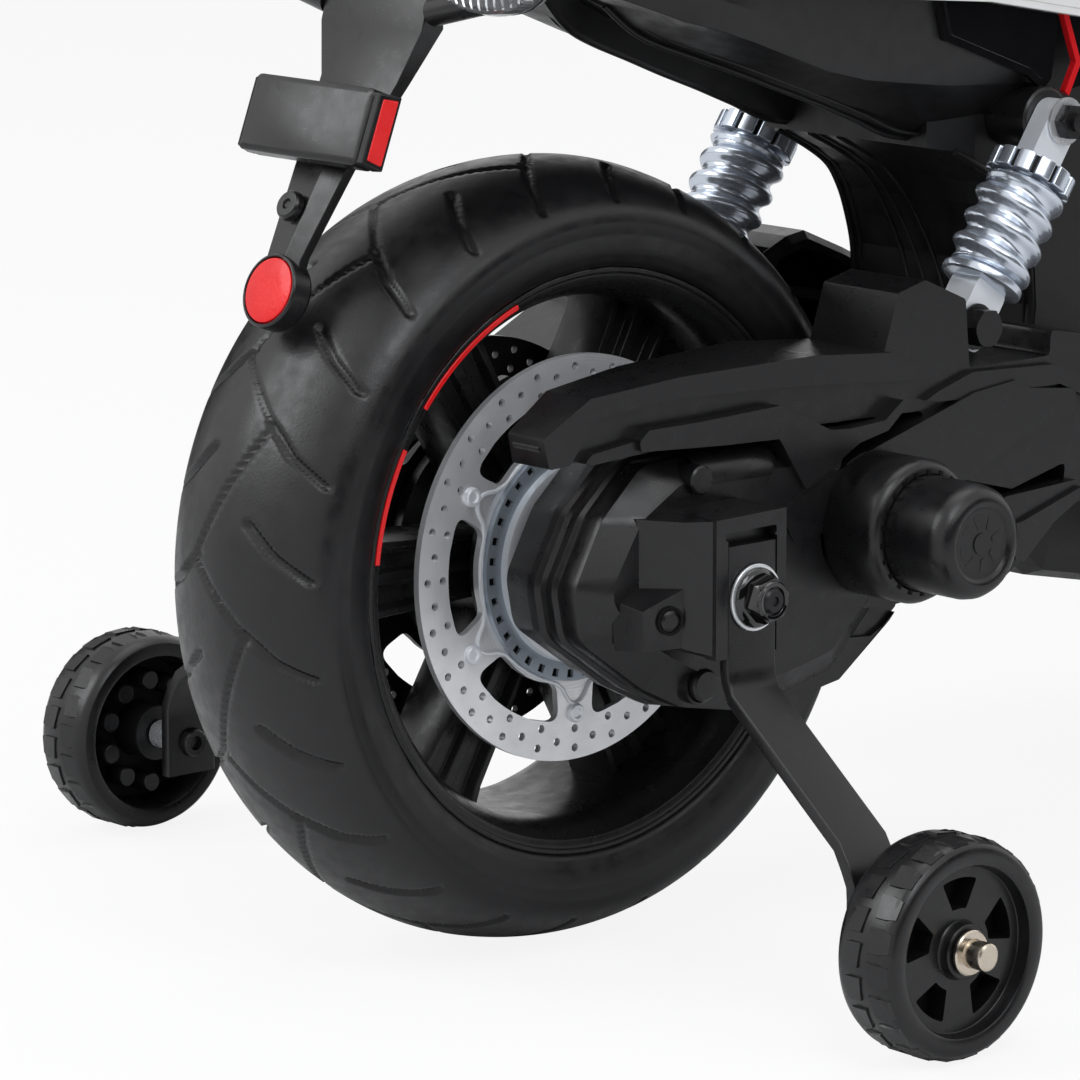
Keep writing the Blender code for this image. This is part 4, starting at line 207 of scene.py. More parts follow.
def turned(profile, origin, axis, steps=64, closed=False, start=0.0):
    """A profile of (radius, height along the axis) turned about the axis through origin."""
    origin = Vector(origin)
    along = Vector(axis).normalized()
    side = along.orthogonal().normalized()
    if abs(along.y) > 0.99:
        side = Vector((1.0, 0.0, 0.0))
    up = along.cross(side)
    points = []
    faces = []
    count = len(profile)
    for k in range(steps):
        angle = start + math.tau * k / steps
        out = side * math.cos(angle) + up * math.sin(angle)
        for r, h in profile:
            points.append(origin + out * r + along * h)
    last = count if closed else count - 1
    for k in range(steps):
        n = (k + 1) % steps
        for i in range(last):
            j = (i + 1) % count
            faces.append((k * count + i, k * count + j, n * count + j, n * count + i))
    return points, faces


def loft(sections, cap=True):
    count = len(sections[0])
    points = [Vector(p) for section in sections for p in section]
    faces = []
    for s in range(len(sections) - 1):
        a = s * count
        b = a + count
        for i in range(count):
            j = (i + 1) % count
            faces.append((a + i, a + j, b + j, b + i))
    if cap:
        faces.append(tuple(range(count)))
        faces.append(tuple(range(len(points) - 1, len(points) - 1 - count, -1)))
    return points, faces


def box(low, high):
    (x0, y0, z0), (x1, y1, z1) = low, high
    lower = [(x0, y0, z0), (x1, y0, z0), (x1, y1, z0), (x0, y1, z0)]
    upper = [(x, y, z1) for x, y, z in lower]
    return loft([lower, upper])


def rounded(points, radius, steps=4):
    out = []
    count = len(points)
    radii = radius if isinstance(radius, (list, tuple)) else [radius] * count
    for i, corner in enumerate(points):
        corner = Vector(corner)
        before = Vector(points[i - 1]) - corner
        after = Vector(points[(i + 1) % count]) - corner
        if radii[i] <= 0.0:
            out.append((corner.x, corner.y))
            continue
        opening = before.angle(after)
        reach = radii[i] / math.tan(opening / 2)
        reach = min(reach, before.length * 0.45, after.length * 0.45)
        first = corner + before.normalized() * reach
        last = corner + after.normalized() * reach
        for s in range(steps + 1):
            t = s / steps
            point = first * (1 - t) ** 2 + corner * 2 * t * (1 - t) + last * t ** 2
            out.append((point.x, point.y))
    return out


def arc(radius, start, end, steps, centre=(0.0, 0.0)):
    out = []
    for s in range(steps + 1):
        angle = math.radians(start + (end - start) * s / steps)
        out.append((centre[0] + radius * math.cos(angle), centre[1] + radius * math.sin(angle)))
    return out


def circle(radius, steps, centre=(0.0, 0.0), turn=0.0):
    return arc(radius, turn, turn + 360, steps, centre)[:-1]


def plate(loops, low, high):
    """A flat outline in X and Z with holes, reaching from low to high along Y."""
    curve = bpy.data.curves.new("outline", "CURVE")
    curve.dimensions = "2D"
    curve.fill_mode = "BOTH"
    curve.extrude = (high - low) / 2
    for loop in loops:
        spline = curve.splines.new("POLY")
        spline.points.add(len(loop) - 1)
        for point, (x, z) in zip(spline.points, loop):
            point.co = (x, z, 0.0, 1.0)
        spline.use_cyclic_u = True
    rig = bpy.data.objects.new("outline", curve)
    bpy.context.scene.collection.objects.link(rig)
    bpy.context.view_layer.update()
    mesh = bpy.data.meshes.new_from_object(rig.evaluated_get(bpy.context.evaluated_depsgraph_get()))
    bpy.data.objects.remove(rig, do_unlink=True)
    bpy.data.curves.remove(curve)
    stand = Matrix.Translation((0.0, (low + high) / 2, 0.0)) @ Matrix.Rotation(math.pi / 2, 4, "X")
    bm = bmesh.new()
    bm.from_mesh(mesh)
    bpy.data.meshes.remove(mesh)
    bmesh.ops.remove_doubles(bm, verts=bm.verts, dist=0.00001)
    bmesh.ops.transform(bm, matrix=stand, verts=bm.verts)
    bmesh.ops.dissolve_limit(bm, angle_limit=0.001, verts=bm.verts, edges=bm.edges)
    points = [v.co.copy() for v in bm.verts]
    faces = [tuple(v.index for v in f.verts) for f in bm.faces]
    bm.free()
    return points, faces


def plate_on(loops, matrix, low, high):
    """A flat outline in a plane of its own: matrix takes its X, depth and Z to the machine's frame."""
    return moved(plate(loops, low, high), matrix)


def frame_from(origin, across, up):
    """A plane's frame: X across, Z up, Y towards the viewer's far side."""
    x = Vector(across).normalized()
    z = (Vector(up) - x * Vector(up).dot(x)).normalized()
    y = z.cross(x)
    matrix = Matrix.Identity(4)
    for i in range(3):
        matrix[i][0] = x[i]
        matrix[i][1] = y[i]
        matrix[i][2] = z[i]
        matrix[i][3] = origin[i]
    return matrix


def smooth_line(points, per_span=8):
    out = []
    count = len(points)
    for i in range(count - 1):
        a = Vector(points[max(i - 1, 0)])
        b = Vector(points[i])
        c = Vector(points[i + 1])
        d = Vector(points[min(i + 2, count - 1)])
        for s in range(per_span):
            t = s / per_span
            out.append(0.5 * (2 * b + (c - a) * t + (2 * a - 5 * b + 4 * c - d) * t ** 2 + (3 * b - a - 3 * c + d) * t ** 3))
    out.append(Vector(points[-1]))
    return out


def tube(points, radius, sides=12, closed=False, flat=1.0):
    """A tube along a route; radius may be a list."""
    points = [Vector(p) for p in points]
    count = len(points)
    radii = radius if isinstance(radius, (list, tuple)) else [radius] * count
    runs = []
    for i in range(count):
        a = points[i - 1] if (i > 0 or closed) else points[i]
        b = points[(i + 1) % count] if (i < count - 1 or closed) else points[i]
        runs.append((b - a).normalized())
    side = runs[0].orthogonal().normalized()
    out = []
    for i in range(count):
        side = (side - runs[i] * side.dot(runs[i])).normalized()
        up = runs[i].cross(side)
        for k in range(sides):
            angle = math.tau * k / sides
            out.append(points[i] + (side * math.cos(angle) * flat + up * math.sin(angle)) * radii[i])
    faces = []
    for i in range(count if closed else count - 1):
        j = (i + 1) % count
        for k in range(sides):
            m = (k + 1) % sides
            faces.append((i * sides + k, i * sides + m, j * sides + m, j * sides + k))
    if not closed:
        faces.append(tuple(range(sides)))
        faces.append(tuple(range(len(out) - 1, len(out) - 1 - sides, -1)))
    return out, faces


def rod(radius, start, end, sides=24, end_radius=None, chamfer=0.0):
    start = Vector(start)
    end = Vector(end)
    run = (end - start).normalized()
    far = radius if end_radius is None else end_radius
    length = (end - start).length
    profile = [(0.0, 0.0), (radius, 0.0), (far, length), (0.0, length)]
    if chamfer:
        profile = [
            (0.0, 0.0), (radius - chamfer, 0.0), (radius, chamfer), (far, length - chamfer), (far - chamfer, length), (0.0, length)
        ]
    return turned(profile, start, run, sides)


def hexagon(radius, start, end, turn=0.0):
    """A bolt's or nut's head between two points on its axis, its corners taken off."""
    start = Vector(start)
    end = Vector(end)
    along = (end - start).normalized()
    side = along.orthogonal().normalized()
    up = along.cross(side)
    length = (end - start).length
    sections = []
    for r, h in ((0.94, 0.0), (1.0, 0.12), (1.0, 0.86), (0.90, 1.0)):
        ring = []
        for k in range(24):
            angle = math.radians(turn + 15 * k)
            local = math.radians((15 * k) % 60 - 30)
            reach = min(radius * math.cos(math.pi / 6) / math.cos(local), radius * (r if r < 1 else 1.0))
            ring.append(start + (side * math.cos(angle) + up * math.sin(angle)) * reach + along * length * h)
        sections.append(ring)
    return loft(sections)


def solid(name, parts, body, replaces=(), angle=35.0, bevel=0.0, segments=2, limit=30.0, level=0, place=None):
    """A piece from (shape, material) pairs, riding on a body."""
    mesh = bpy.data.meshes.new(name)
    points = []
    faces = []
    marks = []
    materials = []
    for shape, material in parts:
        if material not in materials:
            materials.append(material)
        base = len(points)
        points.extend(tuple(p) for p in shape[0])
        faces.extend([tuple(base + i for i in face) for face in shape[1]])
        marks.extend([materials.index(material)] * len(shape[1]))
    mesh.from_pydata(points, [], faces)
    mesh.polygons.foreach_set("material_index", marks)
    for material in materials:
        mesh.materials.append(M[material])
    bm = bmesh.new()
    bm.from_mesh(mesh)
    bmesh.ops.remove_doubles(bm, verts=bm.verts, dist=0.0000005)
    bmesh.ops.recalc_face_normals(bm, faces=bm.faces)
    bm.to_mesh(mesh)
    bm.free()
    if place is not None:
        mesh.transform(place)
    mesh.transform(Matrix.Translation(SHIFT))
    return finished(name, mesh, body, replaces, angle, bevel, segments, limit, level)


def finished(name, mesh, body, replaces=(), angle=35.0, bevel=0.0, segments=2, limit=30.0, level=0):
    piece = bpy.data.objects.new(name, mesh)
    bpy.context.scene.collection.objects.link(piece)
    mesh.shade_smooth()
    if level:
        finer = piece.modifiers.new("finer", "SUBSURF")
        finer.levels = level
        finer.render_levels = level
    elif not bevel:
        mesh.set_sharp_from_angle(angle=math.radians(angle))
    if bevel:
        edge = piece.modifiers.new("rounded_edges", "BEVEL")
        edge.width = bevel
        edge.segments = segments
        edge.limit_method = "ANGLE"
        edge.angle_limit = math.radians(limit)
        edge.harden_normals = True
    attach(piece, body)
    if replaces:
        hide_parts(*replaces)
    return piece


# Camera, light and floor

def build_stage():
    eye = Vector((-1.4745, -1.6568, 0.5898)) + SHIFT
    yaw = math.radians(48.168)
    pitch = math.radians(-11.152)
    look = Vector((math.cos(pitch) * math.cos(yaw), math.cos(pitch) * math.sin(yaw), math.sin(pitch)))
    lens = bpy.data.cameras.new("camera")
    lens.lens = 198.0
    lens.sensor_width = 36.0
    lens.clip_start = 0.05
    camera = bpy.data.objects.new("camera", lens)
    camera.location = eye
    camera.rotation_euler = look.to_track_quat("-Z", "Y").to_euler()
    bpy.context.scene.collection.objects.link(camera)
    bpy.context.scene.camera = camera

    world = bpy.data.worlds.new("studio")
    bpy.context.scene.world = world
    world.use_nodes = True
    tree = world.node_tree
    tree.nodes.clear()
    paths = node_of(tree, "ShaderNodeLightPath")
    seen = node_of(tree, "ShaderNodeMath", operation="MAXIMUM")
    tree.links.new(paths.outputs["Is Camera Ray"], seen.inputs[0])
    tree.links.new(paths.outputs["Is Glossy Ray"], seen.inputs[1])
    seen_through = node_of(tree, "ShaderNodeMath", operation="MAXIMUM")
    tree.links.new(seen.outputs[0], seen_through.inputs[0])
    tree.links.new(paths.outputs["Is Transmission Ray"], seen_through.inputs[1])
    white = node_of(tree, "ShaderNodeBackground")
    white.inputs["Color"].default_value = (1.0, 1.0, 1.0, 1.0)
    white.inputs["Strength"].default_value = 1.0
    soft = node_of(tree, "ShaderNodeBackground")
    soft.inputs["Color"].default_value = (0.97, 0.98, 1.0, 1.0)
    soft.inputs["Strength"].default_value = 0.46
    mix = node_of(tree, "ShaderNodeMixShader")
    tree.links.new(seen_through.outputs[0], mix.inputs[0])
    tree.links.new(soft.outputs[0], mix.inputs[1])
    tree.links.new(white.outputs[0], mix.inputs[2])
    out = node_of(tree, "ShaderNodeOutputWorld")
    tree.links.new(mix.outputs[0], out.inputs["Surface"])

    middle = Vector((SHIFT.x + 0.10, 0.0, 0.25))
    for name, place, size, power, tone in (
        ("key", (-1.9, 1.1, 1.5), 1.4, 30.0, (0.97, 0.985, 1.0)),
        ("fill", (0.2, -2.5, 1.0), 1.6, 13.0, (0.97, 0.98, 1.0)),
        ("over", (-0.86, -1.60, 2.05), 1.2, 20.0, (0.95, 0.97, 1.0)),
        ("top", (0.4, 0.2, 2.6), 1.8, 14.0, (1.0, 1.0, 1.0)),
    ):
        light = bpy.data.lights.new(name, "AREA")
        light.shape = "SQUARE"
        light.size = size
        light.energy = power
        light.color = tone
        lamp = bpy.data.objects.new(name, light)
        lamp.location = middle + Vector(place)
        lamp.rotation_euler = (middle - lamp.location).to_track_quat("-Z", "Y").to_euler()
        bpy.context.scene.collection.objects.link(lamp)

    floor_finish = bpy.data.materials.new("studio_floor")
    floor_finish.use_nodes = True
    tree = floor_finish.node_tree
    tree.nodes.clear()
    paths = node_of(tree, "ShaderNodeLightPath")
    matt = node_of(tree, "ShaderNodeBsdfDiffuse")
    matt.inputs["Color"].default_value = (0.86, 0.86, 0.86, 1.0)
    glow = node_of(tree, "ShaderNodeEmission")
    glow.inputs["Color"].default_value = (1.0, 1.0, 1.0, 1.0)
    share = node_of(tree, "ShaderNodeMath", operation="MULTIPLY")
    tree.links.new(paths.outputs["Is Camera Ray"], share.inputs[0])
    share.inputs[1].default_value = 0.88
    mix = node_of(tree, "ShaderNodeMixShader")
    tree.links.new(share.outputs[0], mix.inputs[0])
    tree.links.new(matt.outputs[0], mix.inputs[1])
    tree.links.new(glow.outputs[0], mix.inputs[2])
    out = node_of(tree, "ShaderNodeOutputMaterial")
    tree.links.new(mix.outputs[0], out.inputs["Surface"])
    mesh = bpy.data.meshes.new("studio_floor")
    reach = 30.0
    mesh.from_pydata([(-reach, -reach, 0.0), (reach, -reach, 0.0), (reach, reach, 0.0), (-reach, reach, 0.0)], [], [(0, 1, 2, 3)])
    mesh.materials.append(floor_finish)
    floor = bpy.data.objects.new("studio_floor", mesh)
    bpy.context.scene.collection.objects.link(floor)

    card_finish = bpy.data.materials.new("studio_card")
    card_finish.use_nodes = True
    shader = card_finish.node_tree.nodes["Principled BSDF"]
    shader.inputs["Base Color"].default_value = (0.012, 0.012, 0.014, 1.0)
    shader.inputs["Roughness"].default_value = 0.9
    shader.inputs["Specular IOR Level"].default_value = 0.1
    for name, start, end, low, high in (("card_right", 221.0, 322.0, 0.0, 1.0), ("card_far", 62.0, 96.0, 0.0, 0.9)):
        points = []
        faces = []
        count = 24
        for i in range(count + 1):
            angle = math.radians(start + (end - start) * i / count)
            for z in (low, high):
                points.append((middle.x + 2.0 * math.cos(angle), 2.0 * math.sin(angle), z))
        for i in range(count):
            faces.append((2 * i, 2 * i + 2, 2 * i + 3, 2 * i + 1))
        mesh = bpy.data.meshes.new(name)
        mesh.from_pydata(points, [], faces)
        mesh.materials.append(card_finish)
        card = bpy.data.objects.new(name, mesh)
        bpy.context.scene.collection.objects.link(card)
        card.visible_camera = False
        card.visible_diffuse = False
        card.visible_shadow = False
        card.visible_transmission = False


# Wheels

def smooth_profile(points, count):
    """Evenly spaced points on a smooth curve through the profile, with the length along it."""
    line = smooth_line([(r, y, 0.0) for r, y in points], 24)
    run = [0.0]
    for a, b in zip(line, line[1:]):
        run.append(run[-1] + (b - a).length)
    run = np.array(run)
    even = np.linspace(0.0, run[-1], count)
    r = np.interp(even, run, [p.x for p in line])
    y = np.interp(even, run, [p.y for p in line])
    return r, y, even


def near_line(u, v, line):
    """The distance of each point of a grid from a line of points."""
    best = np.full(u.shape, 1.0)
    for (u0, v0), (u1, v1) in zip(line, line[1:]):
        du = u1 - u0
        dv = v1 - v0
        t = np.clip(((u - u0) * du + (v - v0) * dv) / (du * du + dv * dv), 0.0, 1.0)
        best = np.minimum(best, np.hypot(u - u0 - t * du, v - v0 - t * dv))
    return best


def tread_depth(theta, s, scale):
    """How deep the moulded grooves are at each point of one cell of the tread."""
    metre = math.radians(1.0) * WHEEL_R
    u = theta * metre
    depth = np.zeros(u.shape)
    bend = []
    for repeat in (-2, -1, 0, 1, 2):
        base = 30.0 * repeat
        bend = [(base * metre, 0.0145 * scale), ((base + 20) * metre, -0.0145 * scale), ((base + 30) * metre, 0.0145 * scale)]
        away = near_line(u, s, bend)
        depth = np.maximum(depth, 0.0012 * np.clip((0.0013 - away) / 0.0006, 0.0, 1.0))
        for flip, first in ((1.0, 0.0), (-1.0, 20.0)):
            start = base + first
            long_cut = [(start - 0.4, 0.0130), (start + 1.2, 0.0190), (start + 3.6, 0.0265), (start + 6.5, 0.0421)]
            short_cut = [(start + 14.0, 0.0135), (start + 18.0, 0.0264), (start + 21.2, 0.0415)]
            for cut in (long_cut, short_cut):
                line = [(angle * metre, flip * across * scale) for angle, across in cut]
                away = near_line(u, s, line)
                wall = np.clip((0.00195 - away) / 0.0009, 0.0, 1.0)
                depth = np.maximum(depth, 0.0021 * wall * wall * (3 - 2 * wall))
    return depth


def build_tyre(name, half, centre_x, cells, rows, body, rim_half):
    scale = half / REAR_HALF
    outer = [
        (0.1500, 0.0), (0.1486, 0.0130 * scale), (0.1452, 0.0255 * scale), (0.1400, 0.0365 * scale),
        (0.1335, 0.0432 * scale), (0.1262, half), (0.1180, 0.0436 * scale), (0.1140, 0.0422 * scale),
        (BEAD_R, rim_half + 0.0001), (BEAD_R - 0.0010, rim_half - 0.0030), (0.1062, rim_half - 0.0040),
    ]
    profile = [(r, -y) for r, y in reversed(outer[1:])] + outer
    r, y, run = smooth_profile(profile, rows)
    s = run - run[-1] / 2
    columns = 12 * cells
    theta = np.arange(cells) * 30.0 / cells
    grid_t, grid_s = np.meshgrid(theta, -s, indexing="ij")
    cell = tread_depth(grid_t, grid_s, scale)
    depth = np.tile(cell, (12, 1))
    step = 0.00045 * np.exp(-((np.abs(s) - 0.0530 * scale - 0.002) / 0.0009) ** 2)
    depth = depth + step[None, :]
    dr = np.gradient(r)
    dy = np.gradient(y)
    size = np.hypot(dr, dy)
    normal_r = np.abs(dy / size)
    normal_y = np.where(y >= 0, 1.0, -1.0) * np.abs(dr / size)
    angle = np.radians(4.5 + np.arange(columns) * 30.0 / cells)
    rr = r[None, :] - depth * normal_r[None, :]
    yy = y[None, :] - depth * normal_y[None, :]
    points = np.empty((columns, rows, 3))
    points[:, :, 0] = rr * np.cos(angle)[:, None] + SHIFT.x + centre_x
    points[:, :, 1] = yy
    points[:, :, 2] = rr * np.sin(angle)[:, None] + WHEEL_R
    index = np.arange(columns * rows).reshape(columns, rows)
    following = np.roll(index, -1, axis=0)
    quads = np.stack([index[:, :-1], following[:, :-1], following[:, 1:], index[:, 1:]], axis=-1).reshape(-1, 4)
    close = np.stack([index[:, -1], following[:, -1], following[:, 0], index[:, 0]], axis=-1)
    quads = np.concatenate([quads, close])
    mesh = bpy.data.meshes.new(name)
    mesh.vertices.add(columns * rows)
    mesh.vertices.foreach_set("co", points.reshape(-1).astype(np.float32))
    mesh.loops.add(len(quads) * 4)
    mesh.loops.foreach_set("vertex_index", quads.reshape(-1).astype(np.int32))
    mesh.polygons.add(len(quads))
    mesh.polygons.foreach_set("loop_start", np.arange(len(quads), dtype=np.int32) * 4)
    mesh.update()
    mesh.validate()
    bm = bmesh.new()
    bm.from_mesh(mesh)
    bmesh.ops.recalc_face_normals(bm, faces=bm.faces)
    bm.to_mesh(mesh)
    bm.free()
    mesh.materials.append(M["rubber"])
    return finished(name, mesh, body, (name.replace("tread_", ""),), angle=60.0)


def spoke(half_hub, half_rim, start, end, width, turn):
    """A broad spoke whose two faces each carry three flutes between raised edges."""
    sections = []
    for r, share in ((start, 0.0), (start + 0.012, 0.12), (end - 0.010, 0.9), (end, 1.0)):
        half = half_hub + (half_rim - half_hub) * share
        edge = width * (0.40 + 0.12 * share)
        if r == end:
            edge *= 1.12
        face = [
            (-edge, -half * 0.55), (-edge * 0.90, -half), (-edge * 0.74, -half), (-edge * 0.62, -half * 0.70),
            (-edge * 0.22, -half * 0.70), (-edge * 0.13, -half * 0.92), (edge * 0.13, -half * 0.92),
            (edge * 0.22, -half * 0.70), (edge * 0.62, -half * 0.70), (edge * 0.74, -half), (edge * 0.90, -half),
            (edge, -half * 0.55),
        ]
        ring = face + [(z, -y) for z, y in reversed(face)]
        sections.append([(r, y, z) for z, y in ring])
    matrix = Matrix.Translation((0.0, 0.0, 0.0)) @ Matrix.Rotation(-turn, 4, "Y")
    return moved(loft(sections), matrix)


def build_rim(name, rim_half, hub_half, centre_x, body, seat_r, discs):
    well = [
        (BEAD_R - 0.0002, rim_half - 0.0006), (BEAD_R - 0.0006, rim_half), (0.1098, rim_half), (0.1092, rim_half - 0.0008),
        (0.1084, rim_half - 0.0008), (0.1062, rim_half - 0.0016), (0.1030, rim_half - 0.0060), (0.1008, rim_half - 0.0110),
        (0.0995, rim_half - 0.0160), (0.0995, 0.0),
    ]
    outer = well + [(r, -y) for r, y in reversed(well[:-1])]
    outer += [(BEAD_R - 0.0002, -rim_half + 0.0030), (0.1064, -rim_half + 0.0040), (0.1064, rim_half - 0.0040), (BEAD_R - 0.0002, rim_half - 0.0030)]
    hub = [
        (0.0053, hub_half), (seat_r - 0.002, hub_half), (seat_r, hub_half - 0.0012), (seat_r, hub_half - 0.0060),
        (0.0345, hub_half - 0.0110), (0.0340, 0.0), (0.0345, -hub_half + 0.0110), (seat_r, -hub_half + 0.0060),
        (seat_r, -hub_half + 0.0012), (seat_r - 0.002, -hub_half), (0.0053, -hub_half),
    ]
    origin = (0.0, 0.0, 0.0)
    parts = [(turned(outer, origin, (0, 1, 0), 192, True), "rim"), (turned(hub, origin, (0, 1, 0), 72, True), "rim")]
    for i in range(6):
        parts.append((spoke(0.0150, 0.0125, 0.028, 0.1010, 0.032, math.tau * i / 6), "rim"))
    for side in (-1, 1):
        for start, end in ((111.0, 141.0), (150.0, 173.0)):
            loop = arc(0.1093, start, end, 40) + arc(0.1073, end, start, 40)
            face = rim_half + 0.00012
            low, high = sorted((side * (face - 0.0016), side * face))
            parts.append((plate([loop], low, high), "red_paint"))
    if discs:
        for side in (-1, 1):
            parts.extend(disc_parts(side, 0.0285, "disc", 0.0300, 0.0330))
    matrix = Matrix.Translation((centre_x, 0.0, WHEEL_R))
    return solid(name, parts, body, (name.replace("spoked_", ""),), bevel=0.0009, limit=28, segments=2, place=matrix)


def disc_loops(window=True, bore=0.0405):
    loops = [circle(0.0777, 192), list(reversed(circle(bore, 96)))]
    for k in range(6):
        middle = 60.0 * k
        outer = arc(0.0632, middle - 22.5, middle + 22.5, 14)
        inner = arc(0.0486, middle + 19.0, middle - 19.0, 10)
        corners = [outer[0], outer[-1], inner[0], inner[-1]]
        loop = []
        for point in rounded([corners[0]] + outer[4:-4] + [corners[1], inner[0]] + inner[3:-3] + [inner[-1]], [0.006] + [0.0] * (len(outer) - 8) + [0.006, 0.0045] + [0.0] * (len(inner) - 6) + [0.0045], 6):
            loop.append(point)
        loops.append(loop)
    for k in range(24):
        angle = 15.0 * k
        for radius, turn in ((0.0733, angle), (0.0658, angle), (0.0704, angle + 7.5)):
            x = radius * math.cos(math.radians(turn))
            z = radius * math.sin(math.radians(turn))
            loops.append(circle(0.0016, 14, (x, z)))
    return loops


def disc_parts(side, face, metal, bore, seat):
    """A floating disc: the drilled band with its windows, rivets in their ears and a raised inner carrier."""
    low, high = sorted((side * face, side * (face - DISC_THICK)))
    parts = [(plate(disc_loops(bore=bore), low, high), metal)]
    outer = side * face
    for k in range(6):
        angle = math.radians(30.0 + 60.0 * k)
        x = 0.0598 * math.cos(angle)
        z = 0.0598 * math.sin(angle)
        rivet = [(0.0, 0.0011), (0.0016, 0.0011), (0.0021, 0.0019), (0.0031, 0.0019), (0.0037, 0.0012), (0.0038, -0.0002)]
        parts.append((turned(rivet, (x, outer, z), (0, side, 0), 28), "pale" if metal == "disc" else metal))
    ridge = []
    for k in range(6):
        middle = 60.0 * k
        for turn, radius in (
            (-30.0, 0.0562), (-27.0, 0.0550), (-25.0, 0.0530), (-22.5, 0.0500), (-18.5, 0.0480), (-8.0, 0.0475), (0.0, 0.0474),
            (8.0, 0.0475), (18.5, 0.0480), (22.5, 0.0500), (25.0, 0.0530), (27.0, 0.0550),
        ):
            angle = math.radians(middle + turn)
            ridge.append(Vector((radius * math.cos(angle), outer + side * 0.0002, radius * math.sin(angle))))
    parts.append((tube(ridge, 0.00085, 8, closed=True), "pale" if metal == "disc" else metal))
    return parts


def build_wheels():
    build_tyre("tread_rear_tyre", REAR_HALF, 0.0, 90, 88, "rear_wheel", REAR_RIM_HALF)
    build_tyre("tread_front_tyre", FRONT_HALF, WHEELBASE, 60, 70, "front_wheel", FRONT_RIM_HALF)
    hub_half = DISC_FACE - DISC_THICK - 0.0003
    build_rim("spoked_rear_rim", REAR_RIM_HALF, hub_half, 0.0, "rear_wheel", 0.0450, False)
    build_rim("spoked_front_rim", FRONT_RIM_HALF, 0.0420, WHEELBASE, "front_wheel", 0.0300, True)
    place = Matrix.Translation((0.0, 0.0, WHEEL_R))
    parts = disc_parts(-1, DISC_FACE, "disc", 0.0405, 0.045)
    solid("drilled_disc_right", parts, "rear_wheel", ("brake_disc_right",), bevel=0.0003, limit=40, segments=1, place=place)
    parts = disc_parts(1, DISC_FACE, "blackmetal", 0.0405, 0.045)
    solid("drilled_disc_left", parts, "rear_wheel", ("brake_disc_left",), bevel=0.0003, limit=40, segments=1, place=place)
    near = DISC_FACE + 0.0003
    parts = []
    band = [circle(0.0466, 144), list(reversed(circle(0.0394, 144)))]
    slots = []
    for k in range(36):
        middle = 10.0 * k + 4.0
        slots.append(arc(0.0453, middle - 1.9, middle + 1.9, 3) + arc(0.0422, middle + 1.9, middle - 1.9, 3))
    parts.append((plate(band + slots, -near - 0.0022, -near), "blued"))
    # A near-black ring just behind the slotted band: painted shade seen through the slots.
    parts.append((plate([circle(0.0462, 96), list(reversed(circle(0.0400, 96)))], -near - 0.0008, -near - 0.0002), "dark"))
    lip = [(0.0394, near), (0.0394, near + 0.0030), (0.0388, near + 0.0050), (0.0372, near + 0.0058), (0.0350, near + 0.0058), (0.0344, near + 0.0048), (0.0344, near)]
    parts.append((turned(lip, (0, 0, 0), (0, -1, 0), 120, True), "pale"))
    cone = [(0.0344, near + 0.0046), (0.0335, near + 0.0030), (0.0335, near)]
    parts.append((turned(cone, (0, 0, 0), (0, -1, 0), 120), "blued"))
    solid("slotted_ring", parts, "rear_wheel", ("sensor_ring",), bevel=0.00025, limit=40, segments=1, place=place)


# Final drive, motor and swingarm

def ring_at(outline, y, centre=(0.020, 0.150), scale=1.0):
    return [(centre[0] + (x - centre[0]) * scale, -y, centre[1] + (z - centre[1]) * scale) for x, z in outline]


